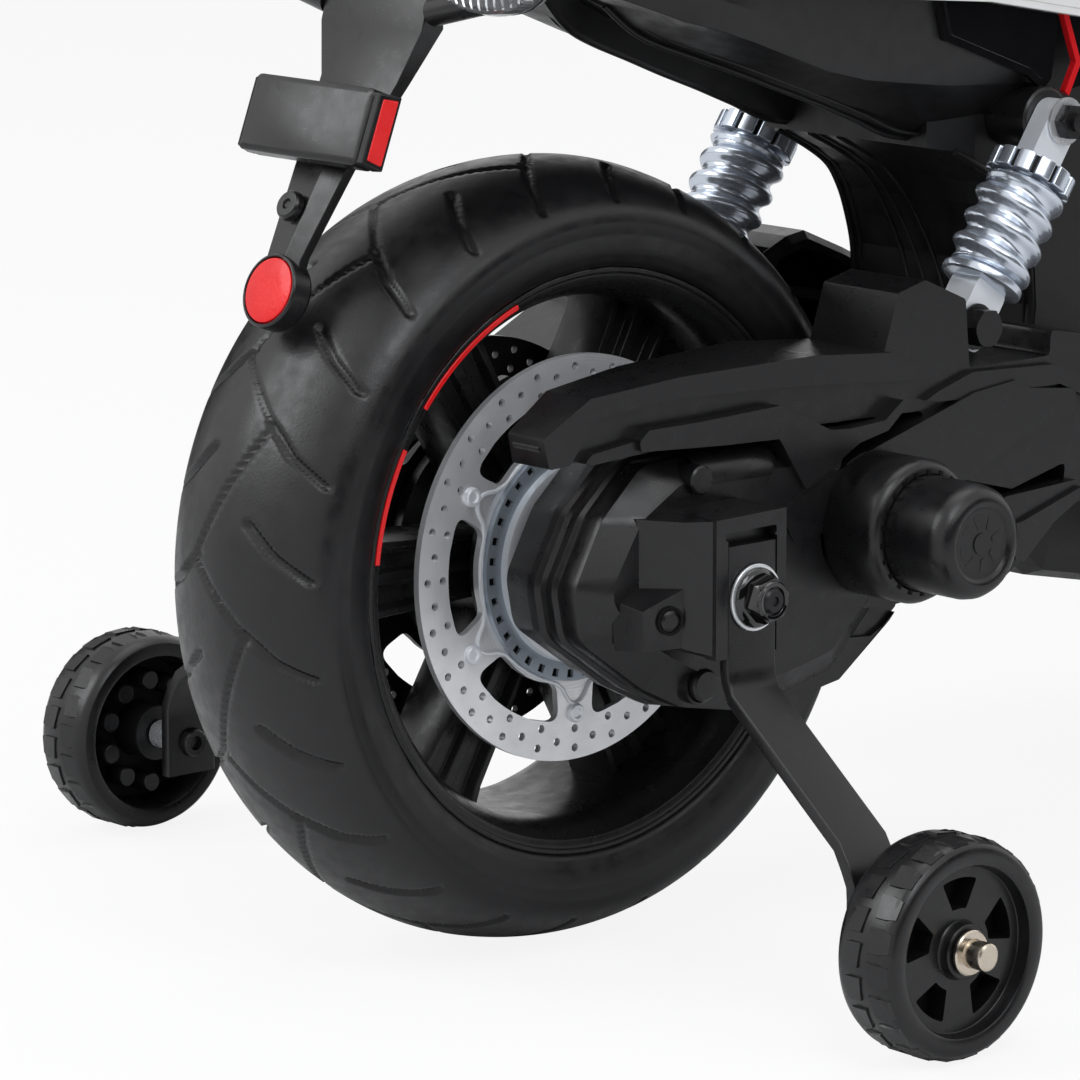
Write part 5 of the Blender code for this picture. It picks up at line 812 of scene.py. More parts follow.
def build_housing():
    wide = [
        (-0.0564, 0.1540), (-0.0427, 0.1788), (-0.0230, 0.1968), (0.0150, 0.1985), (0.0600, 0.1965), (0.0920, 0.1900),
        (0.1040, 0.1650), (0.1010, 0.1310), (0.0750, 0.1050), (0.0300, 0.0965), (-0.0024, 0.1026), (-0.0226, 0.1125),
        (-0.0525, 0.1337),
    ]
    dome = [
        (-0.0493, 0.1516), (-0.0322, 0.1789), (-0.0123, 0.1905), (0.0180, 0.1915), (0.0560, 0.1895), (0.0820, 0.1830),
        (0.0920, 0.1630), (0.0880, 0.1350), (0.0680, 0.1150), (0.0330, 0.1080), (0.0010, 0.1150), (-0.0160, 0.1240),
        (-0.0330, 0.1342),
    ]
    wide = rounded(wide, 0.013, 7)
    dome = rounded(dome, 0.012, 7)
    sections = [
        ring_at(wide, 0.0492, scale=0.93), ring_at(wide, 0.0505, scale=0.965), ring_at(wide, 0.0660, scale=0.985),
        ring_at(wide, 0.0672, scale=1.030), ring_at(wide, 0.0715, scale=1.034), ring_at(wide, 0.0726, scale=1.006),
        ring_at(wide, 0.0752, scale=1.000), ring_at(wide, 0.0762, scale=1.016), ring_at(wide, 0.0795, scale=1.016),
        ring_at(wide, 0.0806, scale=0.992), ring_at(wide, 0.0885, scale=1.000), ring_at(wide, 0.0905, scale=0.992),
        ring_at(dome, 0.0985, scale=1.0), ring_at(dome, 0.0998, scale=0.975), ring_at(dome, 0.1000, scale=0.6),
    ]
    parts = [(loft(sections), "satin")]
    parts.append((rod(0.0330, (0, -0.0374, 0.150), (0, -0.0505, 0.150), 72), "satin"))
    block = rounded([(-0.0187, 0.1285), (-0.0187, 0.1805), (0.0166, 0.1812), (0.0166, 0.1285)], [0.0030, 0.0030, 0.0006, 0.0020], 4)
    channel = [(-0.0128, 0.1285), (-0.0128, 0.1748), (0.0118, 0.1748), (0.0118, 0.1285)]
    low_part = plate([[(-0.0187, 0.1285), (-0.0128, 0.1285), (-0.0128, 0.1715)] + rounded([(-0.0142, 0.1722), (-0.0142, 0.1752), (0.0116, 0.1755), (0.0116, 0.1722)], 0.0012, 3) + [(0.0118, 0.1715), (0.0118, 0.1285), (0.0166, 0.1285), (0.0166, 0.1812), (-0.0187, 0.1805)]], -0.1264, -0.1205)
    parts.append((low_part, "satin"))
    parts.append((plate([block], -0.1207, -0.0950), "satin"))
    wedge = [
        [(-0.0187, -0.1245, 0.1300), (-0.0187, -0.1245, 0.1800), (-0.0187, -0.0960, 0.1800), (-0.0187, -0.0960, 0.1300)],
        [(-0.0240, -0.1150, 0.1320), (-0.0240, -0.1150, 0.1790), (-0.0240, -0.0960, 0.1790), (-0.0240, -0.0960, 0.1320)],
        [(-0.0330, -0.0990, 0.1400), (-0.0330, -0.0990, 0.1790), (-0.0330, -0.0900, 0.1790), (-0.0330, -0.0900, 0.1400)],
    ]
    parts.append((loft(wedge), "satin"))
    boss = [
        [(-0.0430, -0.0960, 0.1500), (-0.0200, -0.0960, 0.1590), (-0.0160, -0.0960, 0.1320), (-0.0410, -0.0960, 0.1310)],
        [(-0.0410, -0.1110, 0.1475), (-0.0200, -0.1160, 0.1560), (-0.0160, -0.1160, 0.1325), (-0.0400, -0.1110, 0.1322)],
    ]
    parts.append((loft(boss), "satin"))
    # A near-black ring round the screw in its boss: painted shade in the hole.
    parts.append((turned([(0.0042, -0.001), (0.0042, 0.0006), (0.0054, 0.0008), (0.0054, -0.001)], (-0.0300, -0.1138, 0.1432), (-0.24, -1, 0), 28, True), "dark"))
    parts.append((turned([(0.0, 0.0012), (0.0028, 0.0012), (0.0039, 0.0006), (0.0040, -0.001)], (-0.0300, -0.1138, 0.1432), (-0.24, -1, 0), 24), "satin"))
    parts.append((turned([(0.0, 0.0), (0.0048, 0.0), (0.0055, -0.0008), (0.0055, -0.0190)], (-0.0040, -0.1035, 0.1905), (0, -1, 0), 36), "satin"))
    barrel = [(0.0100, 0.0), (0.0100, 0.038), (0.0085, 0.042), (0.0, 0.043)]
    parts.append((turned(barrel, (-0.0035, -0.0900, 0.1890), (1, 0, 0), 36), "satin"))
    parts.append((turned([(0.0, 0.0), (0.0052, 0.0), (0.0062, -0.0010), (0.0062, -0.0200)], (0.0005, -0.1015, 0.1125), (0, -1, 0), 32), "satin"))
    parts.append((turned([(0.0068, 0.0), (0.0078, -0.0004), (0.0078, -0.0200), (0.0066, -0.020)], (0.0005, -0.0985, 0.1125), (0, -1, 0), 32, True), "satin"))
    parts.append((rod(0.0280, (0.088, -0.075, 0.1625), (0.088, -0.1000, 0.1625), 72), "satin"))
    solid("drive_case", parts, "chassis", ("drive_housing",), bevel=0.0011, limit=24, segments=3)


def build_motor():
    x, z = 0.088, 0.1625
    cover = [
        (0.0270, 0.1003), (0.0275, 0.1010), (0.0275, 0.1235), (0.0262, 0.1262), (0.0246, 0.1274), (0.0225, 0.1276),
        (0.0219, 0.1270), (0.0219, 0.1500), (0.0212, 0.1535), (0.0196, 0.1562), (0.0176, 0.1576), (0.0158, 0.1580),
        (0.0144, 0.1577), (0.0133, 0.1566), (0.0, 0.1562),
    ]
    parts = [(turned(cover, (x, 0, z), (0, -1, 0), 144), "satin")]
    # Near-black blocks round the cover's shoulder: painted shade standing for its notches.
    for k in range(22):
        angle = math.tau * (k + 0.3) / 22
        middle = Vector((x + 0.0226 * math.cos(angle), 0.0, z + 0.0226 * math.sin(angle)))
        out = Vector((math.cos(angle), 0.0, math.sin(angle)))
        round_it = Vector((-out.z, 0.0, out.x))
        corners = []
        for y in (-0.1279, -0.1262):
            corners.append([middle + out * a + round_it * b + Vector((0, y, 0)) for a, b in ((-0.0006, -0.0009), (0.0014, -0.0009), (0.0014, 0.0009), (-0.0006, 0.0009))])
        parts.append((loft(corners), "dark"))
        corners = []
        for y in (-0.1275, -0.1312):
            corners.append([middle + out * a + round_it * b + Vector((0, y, 0)) for a, b in ((-0.0012, -0.00045), (-0.00055, -0.00045), (-0.00055, 0.00045), (-0.0012, 0.00045))])
        parts.append((loft(corners), "dark"))
    petals = []
    for k in range(8):
        middle = 45.0 * k + 10.0
        loop = arc(0.0112, middle - 15.0, middle + 15.0, 6) + arc(0.0058, middle + 9.0, middle - 9.0, 4)
        petals.append(rounded(loop, 0.0003, 1))
    for loop in petals:
        parts.append((moved(plate([loop], -0.1566, -0.1555), Matrix.Translation((x, 0, z))), "satin"))
    parts.append((moved(plate([circle(0.0040, 40)], -0.1568, -0.1555), Matrix.Translation((x, 0, z))), "satin"))
    solid("motor_shell", parts, "chassis", ("motor_cover",), bevel=0.0003, limit=40, segments=2)


def build_right_arm():
    outer, inner = -0.0985, -0.0565
    parts = []

    def tapered(shape, more):
        points, faces = shape
        drawn = []
        for point in points:
            most = float(np.interp(point.x, (-0.080, -0.020, 0.030), (-0.0825, -0.0700, inner))) + more
            drawn.append(Vector((point.x, min(point.y, most), point.z)))
        return drawn, faces

    core = [
        (-0.0800, 0.2105), (-0.0570, 0.2240), (-0.0120, 0.2275), (0.0560, 0.2285), (0.0960, 0.2255), (0.1035, 0.2480),
        (0.1180, 0.2515), (0.1400, 0.2420), (0.1425, 0.2150), (0.1870, 0.2150), (0.1875, 0.2250), (0.2150, 0.2200),
        (0.2600, 0.2080), (0.2660, 0.1850), (0.2540, 0.1700), (0.2090, 0.1550), (0.1950, 0.1560), (0.1970, 0.1720),
        (0.1670, 0.1650), (0.1400, 0.1720), (0.1300, 0.1640), (0.1165, 0.2015), (0.0500, 0.2030), (-0.0700, 0.2030),
    ]
    parts.append((tapered(plate([rounded(core, 0.002, 2)], outer + 0.002, inner), 0.0), "satin"))
    top = [
        (-0.0790, 0.2140), (-0.0560, 0.2262), (-0.0120, 0.2292), (0.0560, 0.2297), (0.0980, 0.2262), (0.1150, 0.2180),
        (0.1100, 0.2145), (0.0500, 0.2190), (-0.0120, 0.2215), (-0.0520, 0.2190), (-0.0660, 0.2030), (-0.0760, 0.2025),
    ]
    parts.append((tapered(plate([rounded(top, 0.0015, 2)], outer - 0.0010, inner + 0.004), 0.002), "satin"))
    strap = [
        (-0.0345, 0.2085), (-0.0300, 0.2120), (-0.0020, 0.2122), (0.0365, 0.2135), (0.0628, 0.2012), (0.0730, 0.2005),
        (0.0913, 0.2015), (0.1010, 0.2085), (0.1040, 0.2065), (0.0930, 0.1975), (0.0780, 0.1945), (0.0500, 0.1800),
        (0.0360, 0.2010), (0.0080, 0.2020), (-0.0340, 0.2045),
    ]
    parts.append((plate([rounded(strap, 0.0016, 3)], outer - 0.0040, outer + 0.0080), "satin"))
    low_strap = [(-0.0600, 0.2030), (-0.0560, 0.2060), (-0.0330, 0.2085), (-0.0335, 0.2035), (-0.0560, 0.2020)]
    parts.append((plate([rounded(low_strap, 0.001, 2)], outer - 0.0020, outer + 0.0080), "satin"))
    beam = [
        (0.0382, 0.1735), (0.0836, 0.1900), (0.1415, 0.2062), (0.1643, 0.2085), (0.1720, 0.2045), (0.1979, 0.2015),
        (0.1969, 0.1918), (0.1674, 0.1853), (0.1403, 0.1734), (0.1150, 0.1680), (0.0455, 0.1603),
    ]
    parts.append((plate([rounded(beam, 0.0015, 2)], outer - 0.0022, inner), "satin"))
    ridge_top = [(0.1100, 0.2050), (0.1415, 0.2140), (0.1870, 0.2120), (0.2080, 0.2040), (0.2400, 0.2050), (0.2500, 0.1960), (0.2080, 0.1960), (0.1900, 0.2040), (0.1400, 0.2040)]
    parts.append((plate([rounded(ridge_top, 0.002, 2)], outer - 0.0010, inner), "satin"))
    strut = [(0.1400, 0.1560), (0.1608, 0.1632), (0.2001, 0.1650), (0.2060, 0.1600), (0.1849, 0.1497), (0.1685, 0.1364), (0.1560, 0.1290), (0.1400, 0.1330)]
    parts.append((plate([rounded(strut, 0.002, 2)], outer - 0.0012, inner), "satin"))
    crease = [(0.1610, 0.1520), (0.1681, 0.1530), (0.2010, 0.1625), (0.2040, 0.1600), (0.1849, 0.1500), (0.1690, 0.1370), (0.1640, 0.1380)]
    parts.append((plate([rounded(crease, 0.001, 2)], outer - 0.0035, outer), "satin"))
    bar = [(0.0170, 0.1420), (0.0450, 0.1455), (0.0534, 0.1440), (0.0800, 0.1465), (0.1100, 0.1500), (0.1140, 0.1285), (0.1049, 0.1281), (0.0524, 0.1301), (0.0170, 0.1310)]
    parts.append((plate([rounded(bar, 0.0015, 2)], -0.0960, inner + 0.004), "satin"))
    low = [(0.0170, 0.1320), (0.0560, 0.1300), (0.1120, 0.1270), (0.1112, 0.1251), (0.0795, 0.1009), (0.0691, 0.0993), (0.0613, 0.0885), (0.0560, 0.0880), (0.0300, 0.1000)]
    parts.append((plate([rounded(low, 0.0012, 2)], -0.0890, inner), "satin"))
    fold = [(0.0240, 0.1130), (0.0500, 0.1200), (0.0960, 0.1160), (0.1060, 0.1205), (0.1100, 0.1245), (0.0795, 0.1015), (0.0700, 0.1000), (0.0400, 0.1010)]
    parts.append((plate([rounded(fold, 0.0012, 2)], -0.0910, -0.0860), "satin"))
    solid("swingarm_finned", parts, "chassis", ("swingarm_right",), bevel=0.0013, limit=30, segments=3)


# Axle, stabilisers and shock absorbers

def build_axle():
    for side in (-1, 1):
        name = "left" if side > 0 else "right"
        face = side * 0.1268
        parts = [(turned([(0.0052, 0.0), (0.0122, 0.0), (0.0125, 0.0003), (0.0125, 0.0012), (0.0122, 0.0015), (0.0052, 0.0015)], (0, face, 0.150), (0, side, 0), 48, True), "zinc")]
        flange = [(0.0052, 0.0015), (0.0108, 0.0015), (0.0112, 0.0020), (0.0108, 0.0028), (0.0090, 0.0040), (0.0052, 0.0040)]
        parts.append((turned(flange, (0, face, 0.150), (0, side, 0), 48, True), "gloss"))
        nut_low = face + side * 0.0030
        nut_high = face + side * 0.0098
        ring = []
        for y, scale in ((nut_low, 1.0), (nut_low + side * 0.0055, 1.0), (nut_high, 0.93)):
            ring.append([(p[0], y, 0.150 + p[1]) for p in rounded([(0.0092 * scale * math.cos(math.radians(60 * k + 14)), 0.0092 * scale * math.sin(math.radians(60 * k + 14))) for k in range(6)], 0.0012, 3)])
        parts.append((loft(ring), "gloss"))
        crown = [(0.0050, 0.0096), (0.0054, 0.0106), (0.0068, 0.0109), (0.0075, 0.0100), (0.0075, 0.0088), (0.0050, 0.0088)]
        parts.append((turned(crown, (0, face, 0.150), (0, side, 0), 40, True), "gloss"))
        solid("flange_nut_" + name, parts, "chassis", ("axle_nut_" + name,), bevel=0.0002, limit=40)
    end = 0.1380
    parts = []
    for side in (-1, 1):
        tip = [(0.0049, 0.0), (0.0049, end - 0.0010), (0.0040, end), (0.0018, end), (0.0016, end - 0.0008), (0.0, end - 0.0008)]
        parts.append((turned(tip, (0, 0, 0.150), (0, side, 0), 36), "blackmetal"))
    solid("axle_shaft", parts, "chassis", ("rear_axle",))


def build_stabiliser(side):
    name = "left" if side > 0 else "right"
    track, half, low = 0.2321, 0.0150, 0.0410
    x0 = -0.0073
    inner = track - half - 0.0006
    middle = 0.1975
    channel = 0.1265 - 0.0025
    line = [
        (-0.0005, channel, 0.1700), (-0.0005, channel, 0.1240), (-0.0005, channel + 0.0006, 0.1195), (-0.0010, channel + 0.0035, 0.1135),
        (-0.0070, middle - 0.0080, low + 0.0300), (-0.0073, middle - 0.0032, low + 0.0225), (-0.0073, middle - 0.0004, low + 0.0165), (-0.0073, middle, low + 0.0110), (-0.0073, middle, low - 0.0130),
    ]
    sections = []
    count = len(line)
    for i, (x, y, z) in enumerate(line):
        before = Vector(line[max(i - 1, 0)])
        after = Vector(line[min(i + 1, count - 1)])
        run = (after - before).normalized()
        across = Vector((1.0, 0.0, 0.0))
        out = run.cross(across).normalized()
        here = Vector((x, y, z))
        ring = []
        for a, b in rounded([(-0.0120, -0.0025), (0.0120, -0.0025), (0.0120, 0.0025), (-0.0120, 0.0025)], 0.0009, 3):
            ring.append(here + across * a + out * b)
        sections.append([(p.x, p.y * side, p.z) for p in ring])
    parts = [(loft(sections), "satin")]
    solid("flat_bar_" + name, parts, "chassis", ("stabiliser_arm_" + name,), angle=50)

    origin = (x0, side * track, low)
    axis = (0, side, 0)
    parts = []
    body = [
        (0.0045, -half), (0.0112, -half), (0.0115, -half + 0.0008), (0.0118, -0.0008), (0.0300, -0.0012), (0.0312, -0.0125),
        (0.0320, -half + 0.0005), (0.0330, -half), (0.0372, -half), (0.0385, -half + 0.0012), (0.0398, -0.0110), (0.0400, 0.0),
        (0.0398, 0.0095), (0.0384, 0.0122), (0.0370, 0.0131), (0.0322, 0.0131), (0.0313, 0.0125), (0.0303, 0.0080),
        (0.0296, 0.0074), (0.0110, 0.0084), (0.0102, 0.0090), (0.0100, 0.0118), (0.0095, 0.0122), (0.0045, 0.0122),
    ]
    windows = []
    for k in range(5):
        turn = 72.0 * k + 90.0
        loop = arc(0.0262, turn - 19.0, turn + 19.0, 8) + arc(0.0150, turn + 13.0, turn - 13.0, 5)
        windows.append(rounded(loop, [0.002] + [0.0] * 7 + [0.002, 0.0015] + [0.0] * 4 + [0.0015], 4))
    tread = body[8:16]
    shell = [body[5], body[6], body[7]] + tread + [body[16], body[17], (0.0290, 0.0070), (0.0290, -0.0010)]
    parts.append((turned(shell, origin, axis, 120, True), "satin"))
    hub = [(0.0045, -half), (0.0112, -half), (0.0115, -half + 0.0008), (0.0118, 0.0), (0.0110, 0.0080), (0.0104, 0.0086), (0.0100, 0.0118), (0.0095, 0.0122), (0.0045, 0.0122)]
    parts.append((turned(hub, origin, axis, 48, True), "satin"))
    web = plate([circle(0.0300, 96), list(reversed(circle(0.0105, 48)))] + windows, -0.0005, 0.0078)
    if side < 0:
        web = moved(web, Matrix.Scale(-1, 4, (0, 1, 0)))
    parts.append((moved(web, Matrix.Translation(origin)), "satin"))
    # A near-black sheet just behind the web: painted shade seen through its windows.
    back = turned([(0.0118, -0.0007), (0.0295, -0.0007)], origin, axis, 72)
    parts.append((back, "dark"))
    lug_count = 20
    for k in range(lug_count):
        for row in (-1, 1):
            turn = math.tau * (k + (0.25 if row > 0 else -0.25)) / lug_count
            width = math.tau / lug_count * 0.39
            cells = []
            for radius, squeeze in ((0.0392, 1.0), (0.0408, 0.90)):
                ring = []
                for da, dy in ((-1, 0.0010), (1, 0.0010 + 0.0012), (1, 0.0075), (0.82, 0.0118), (-0.82, 0.0118), (-1, 0.0070)):
                    a = turn + da * width * squeeze
                    y = row * (0.0064 + (dy - 0.0064) * squeeze)
                    r = radius - (0.0014 if dy > 0.011 else 0.0)
                    ring.append((origin[0] + r * math.cos(a), origin[1] + side * y, origin[2] + r * math.sin(a)))
                cells.append(ring)
            parts.append((loft(cells), "satin"))
    for k in range(10):
        turn = math.tau * (k + 0.5) / 10
        centre = Vector((origin[0] + 0.0215 * math.cos(turn), origin[1] - side * 0.0007, origin[2] + 0.0215 * math.sin(turn)))
        parts.append((turned([(0.0, 0.0100), (0.0036, 0.0100), (0.0042, 0.0092), (0.0044, 0.0)], centre, (0, -side, 0), 20), "satin"))
    solid("trainer_wheel_" + name, parts, name + "_stabiliser", ("stabiliser_wheel_" + name,), bevel=0.0005, limit=38, segments=2)

    outer = track + 0.0128
    pin = [
        (0.0, inner - 0.0053), (0.0040, inner - 0.0053), (0.0040, outer), (0.0080, outer), (0.0083, outer + 0.0004), (0.0083, outer + 0.0013),
        (0.0078, outer + 0.0018), (0.0054, outer + 0.0020), (0.0052, outer + 0.0028), (0.0052, outer + 0.0086), (0.0050, outer + 0.0094),
        (0.0042, outer + 0.0099), (0.0, outer + 0.0100),
    ]
    parts = [(turned(pin, (x0, 0, low), axis, 48), "nickel")]
    bar_face = middle + 0.0025
    spacer = [
        (0.0040, bar_face), (0.0080, bar_face), (0.0084, bar_face + 0.0004), (0.0084, bar_face + 0.0013), (0.0078, bar_face + 0.0018),
        (0.0056, bar_face + 0.0020), (0.0056, inner - 0.0004), (0.0040, inner - 0.0004),
    ]
    parts.append((turned(spacer, (x0, 0, low), axis, 48, True), "zinc"))
    parts.append((hexagon(0.0074, (x0, side * (bar_face + 0.0016), low), (x0, side * (bar_face + 0.0070), low), 12), "zinc"))
    head = [
        (0.0, 0.0008), (0.0026, 0.0008), (0.0030, 0.0028), (0.0050, 0.0030), (0.0056, 0.0024), (0.0060, 0.0), (0.0, 0.0),
    ]
    parts.append((turned(head, (x0, side * (middle - 0.0025), low), (0, -side, 0), 36), "satin"))
    solid("wheel_pin_" + name, parts, "chassis", ("stabiliser_pin_" + name,), angle=30)


SHOCK_FOOT = Vector((0.1580, 0.0, 0.2280))
SHOCK_EYE = Vector((0.2090, 0.0, 0.3030))


def wound_sleeve(bore, valley, ridge, low, high, pitch, side):
    """A moulded spring: a sleeve whose one rounded ridge winds up it."""
    around, rows = 120, 150
    points = []
    for i in range(rows + 1):
        z = low + (high - low) * i / rows
        near = min(z - low, high - z)
        fade = min(1.0, near / 0.0012)
        for k in range(around):
            turn = k / around
            phase = ((z - low) / pitch - side * turn + 0.35) % 1.0
            away = (phase - 0.5) * pitch
            r = valley + ridge * math.exp(-abs(away / 0.0031) ** 2.6) * fade - 0.0008 * (1.0 - fade)
            points.append(Vector((r * math.cos(math.tau * turn), r * math.sin(math.tau * turn), z)))
    for z in (high, low):
        for k in range(around):
            turn = math.tau * k / around
            points.append(Vector((bore * math.cos(turn), bore * math.sin(turn), z)))
    faces = []
    for i in range(rows + 3):
        a = i * around
        b = ((i + 1) % (rows + 3)) * around
        for k in range(around):
            n = (k + 1) % around
            faces.append((a + k, a + n, b + n, b + k))
    return points, faces


def build_shock(side):
    name = "left" if side > 0 else "right"
    y = side * 0.0770
    run = SHOCK_EYE - SHOCK_FOOT
    length = run.length
    along = run.normalized()
    across = Vector((0.0, 1.0, 0.0))
    ahead = across.cross(along).normalized()
    matrix = Matrix.Identity(4)
    for i in range(3):
        matrix[i][0] = ahead[i]
        matrix[i][1] = across[i]
        matrix[i][2] = along[i]
    matrix.translation = SHOCK_FOOT + Vector((0.0, y, 0.0))
    foot = rounded([(0.0090, 0.0185), (0.0090, -0.0030), (0.0060, -0.0090), (-0.0060, -0.0090), (-0.0090, -0.0030), (-0.0090, 0.0185)], 0.004, 4)
    eye = [(-0.0085, 0.0690)] + arc(0.0085, 180, 0, 16, (0.0, length)) + [(0.0085, 0.0690)]
    parts = [
        (plate([foot], -0.0070, 0.0070), "pale"),
        (plate([eye, circle(0.0038, 24, (0.0, length))], -0.0045, 0.0045), "pale"),
    ]
    barrel = [
        (0.0, 0.0172), (0.0150, 0.0172), (0.0163, 0.0180), (0.0165, 0.0192), (0.0163, 0.0207), (0.0148, 0.0217), (0.0118, 0.0226),
        (0.0108, 0.0240), (0.0106, 0.0560), (0.0104, 0.0580), (0.0104, 0.0700), (0.0096, 0.0722), (0.0, 0.0722),
    ]
    parts.append((turned(barrel, (0, 0, 0), (0, 0, 1), 64), "chrome"))
    parts.append((turned([(0.0106, 0.0570), (0.0150, 0.0574), (0.0156, 0.0590), (0.0150, 0.0606), (0.0106, 0.0612)], (0, 0, 0), (0, 0, 1), 64), "chrome"))
    solid("strut_" + name, parts, "chassis", ("shock_" + name,), bevel=0.0006, limit=40, segments=3, place=matrix)
    coil = wound_sleeve(0.0108, 0.0140, 0.0032, 0.0228, 0.0606, 0.0107, side)
    solid("coil_" + name, [(coil, "chrome")], "chassis", ("shock_spring_" + name,), angle=60, place=matrix)
    lobes = []
    for k in range(12):
        for turn, radius in ((-11.0, 0.0172), (-6.0, 0.0174), (0.0, 0.0175), (6.0, 0.0174), (11.0, 0.0172), (13.0, 0.0152), (15.0, 0.0150), (17.0, 0.0152)):
            angle = math.radians(30.0 * k + turn)
            lobes.append((radius * math.cos(angle), radius * math.sin(angle)))
    collar = plate([lobes, list(reversed(circle(0.0108, 48)))], -0.0040, 0.0040)
    collar = moved(collar, Matrix.Translation((0, 0, 0.0662)) @ Matrix.Rotation(math.pi / 2, 4, "X"))
    parts = [(collar, "chrome")]
    # Near-black blocks in the collar's notches: painted shade.
    for k in range(12):
        angle = math.radians(30.0 * k + 15.0)
        place = Matrix.Rotation(angle, 4, "Z")
        parts.append((moved(box((0.0140, -0.0010, 0.0625), (0.0158, 0.0010, 0.0699)), place), "dark"))
    solid("collar_" + name, parts, "chassis", ("shock_collar_" + name,), bevel=0.0005, limit=40, segments=2, place=matrix)
    bolts = []
    foot_at = SHOCK_FOOT + Vector((0.0, side * 0.0842, 0.0))
    bolts.append((turned([(0.0, 0.0), (0.0088, 0.0), (0.0090, 0.0003), (0.0090, 0.0011), (0.0, 0.0012)], foot_at, (0, side, 0), 36), "satin"))
    bolts.append((hexagon(0.0080, foot_at + Vector((0, side * 0.0010, 0)), foot_at + Vector((0, side * 0.0078, 0)), 8), "satin"))
    eye_at = SHOCK_EYE + Vector((0.0, side * 0.0817, 0.0))
    bolts.append((turned([(0.0, 0.0), (0.0092, 0.0), (0.0094, 0.0003), (0.0094, 0.0012), (0.0, 0.0013)], eye_at, (0, side, 0), 36), "zinc"))
    bolts.append((hexagon(0.0074, eye_at + Vector((0, side * 0.0012, 0)), eye_at + Vector((0, side * 0.0062, 0)), 8), "satin"))
    bolts.append((turned([(0.0, 0.0), (0.0036, 0.0), (0.0036, 0.0024), (0.0, 0.0026)], eye_at + Vector((0, side * 0.0060, 0)), (0, side, 0), 24), "satin"))
    solid("shock_bolts_" + name, bolts, "chassis", (), angle=30)


# The ribbed wall behind the rear wheel

ARCH = [
    (0.1813, 0.2903), (0.1978, 0.2821), (0.2100, 0.2740), (0.2170, 0.2640), (0.2215, 0.2530), (0.2250, 0.2400), (0.2262, 0.2250),
    (0.2240, 0.2050), (0.2170, 0.1850), (0.2120, 0.1600), (0.2110, 0.1420),
]


def build_arch():
    """Beads moulded on the wall that the wheel faces, running down it from the tail."""
    line = smooth_line([(x, 0.0, z) for x, z in ARCH], 6)
    parts = []
    for upper, lower, radius in (
        (0.0500, 0.0500, 0.0014), (0.0455, 0.0455, 0.0007), (0.0310, 0.0180, 0.0012), (0.0250, 0.0090, 0.0008),
        (0.0150, -0.0010, 0.0010), (-0.0500, -0.0500, 0.0014), (-0.0455, -0.0455, 0.0007),
    ):
        route = []
        for point in line:
            share = min(1.0, max(0.0, (0.270 - point.z) / 0.045))
            route.append(Vector((point.x - 0.0002, upper + (lower - upper) * share, point.z)))
        parts.append((tube(route, radius, 12), "matte"))
    solid("wall_beads", parts, "chassis", (), angle=60)


# The tail

def build_tail():
    """The cowl under the seat: side walls that lean in to a rolled lip round its hollow underside."""
    stations = [
        (-0.0620, 0.3725, 0.0400, 0.0470, 0.3860, 0.0480, 0.4297),
        (-0.0345, 0.3670, 0.0330, 0.0560, 0.3740, 0.0580, 0.4047),
        (-0.0280, 0.3660, 0.0290, 0.0580, 0.3715, 0.0600, 0.3997),
        (0.0080, 0.3630, 0.0180, 0.0605, 0.3590, 0.0655, 0.3997),
        (0.0260, 0.3550, 0.0180, 0.0612, 0.3530, 0.0660, 0.3997),
        (0.0360, 0.3460, 0.0205, 0.0616, 0.3505, 0.0660, 0.3997),
        (0.0450, 0.3405, 0.0235, 0.0618, 0.3480, 0.0660, 0.3997),
        (0.0600, 0.3346, 0.0280, 0.0620, 0.3432, 0.0660, 0.3997),
        (0.0800, 0.3275, 0.0310, 0.0620, 0.3360, 0.0660, 0.3997),
        (0.1000, 0.3200, 0.0330, 0.0620, 0.3289, 0.0660, 0.3997),
        (0.1200, 0.3128, 0.0340, 0.0620, 0.3242, 0.0660, 0.3997),
        (0.1400, 0.3050, 0.0345, 0.0620, 0.3216, 0.0660, 0.3997),
        (0.1650, 0.2955, 0.0350, 0.0620, 0.3185, 0.0660, 0.3997),
        (0.2150, 0.2905, 0.0350, 0.0620, 0.3160, 0.0660, 0.3997),
    ]
    sections = []
    lips = []
    for x, low, half, crease, crease_z, wide, high in stations:
        deep = min(low + 0.012, high - 0.010)
        line = [
            (half - 0.0065, deep), (half - 0.0045, low + 0.0012), (half - 0.0022, low), (half, low + 0.0014),
            (half + (crease - half) * 0.55, low + (crease_z - low) * 0.42 + 0.0008), (crease, crease_z), (wide, crease_z + 0.011),
            (wide, high - 0.008), (wide - 0.003, high - 0.0012), (wide - 0.008, high),
        ]
        ring = line + [(-y, z) for y, z in reversed(line)]
        sections.append([(x, y, z) for y, z in ring])
        lips.append((x, half, low))
    parts = [(loft(sections), "matte")]
    for side in (-1, 1):
        route = smooth_line([(x, side * (half - 0.0012), low + 0.0006) for x, half, low in lips[4:]], 5)
        parts.append((tube(route, 0.0013, 10), "matte"))
        route = smooth_line([(x, side * (half + 0.0058), low + 0.0026) for x, half, low in lips[5:]], 5)
        parts.append((tube(route, 0.0008, 10), "matte"))
        parts.append((rod(0.0125, (SHOCK_EYE.x, side * 0.0500, SHOCK_EYE.z), (SHOCK_EYE.x, side * 0.0722, SHOCK_EYE.z), 40, chamfer=0.001), "satin"))
        parts.append((rod(0.0034, (SHOCK_EYE.x, side * 0.0640, SHOCK_EYE.z), (SHOCK_EYE.x, side * 0.0815, SHOCK_EYE.z), 20), "zinc"))
    solid("tail_shell", parts, "chassis", ("tail_cowl",), bevel=0.0012, limit=22, segments=3)


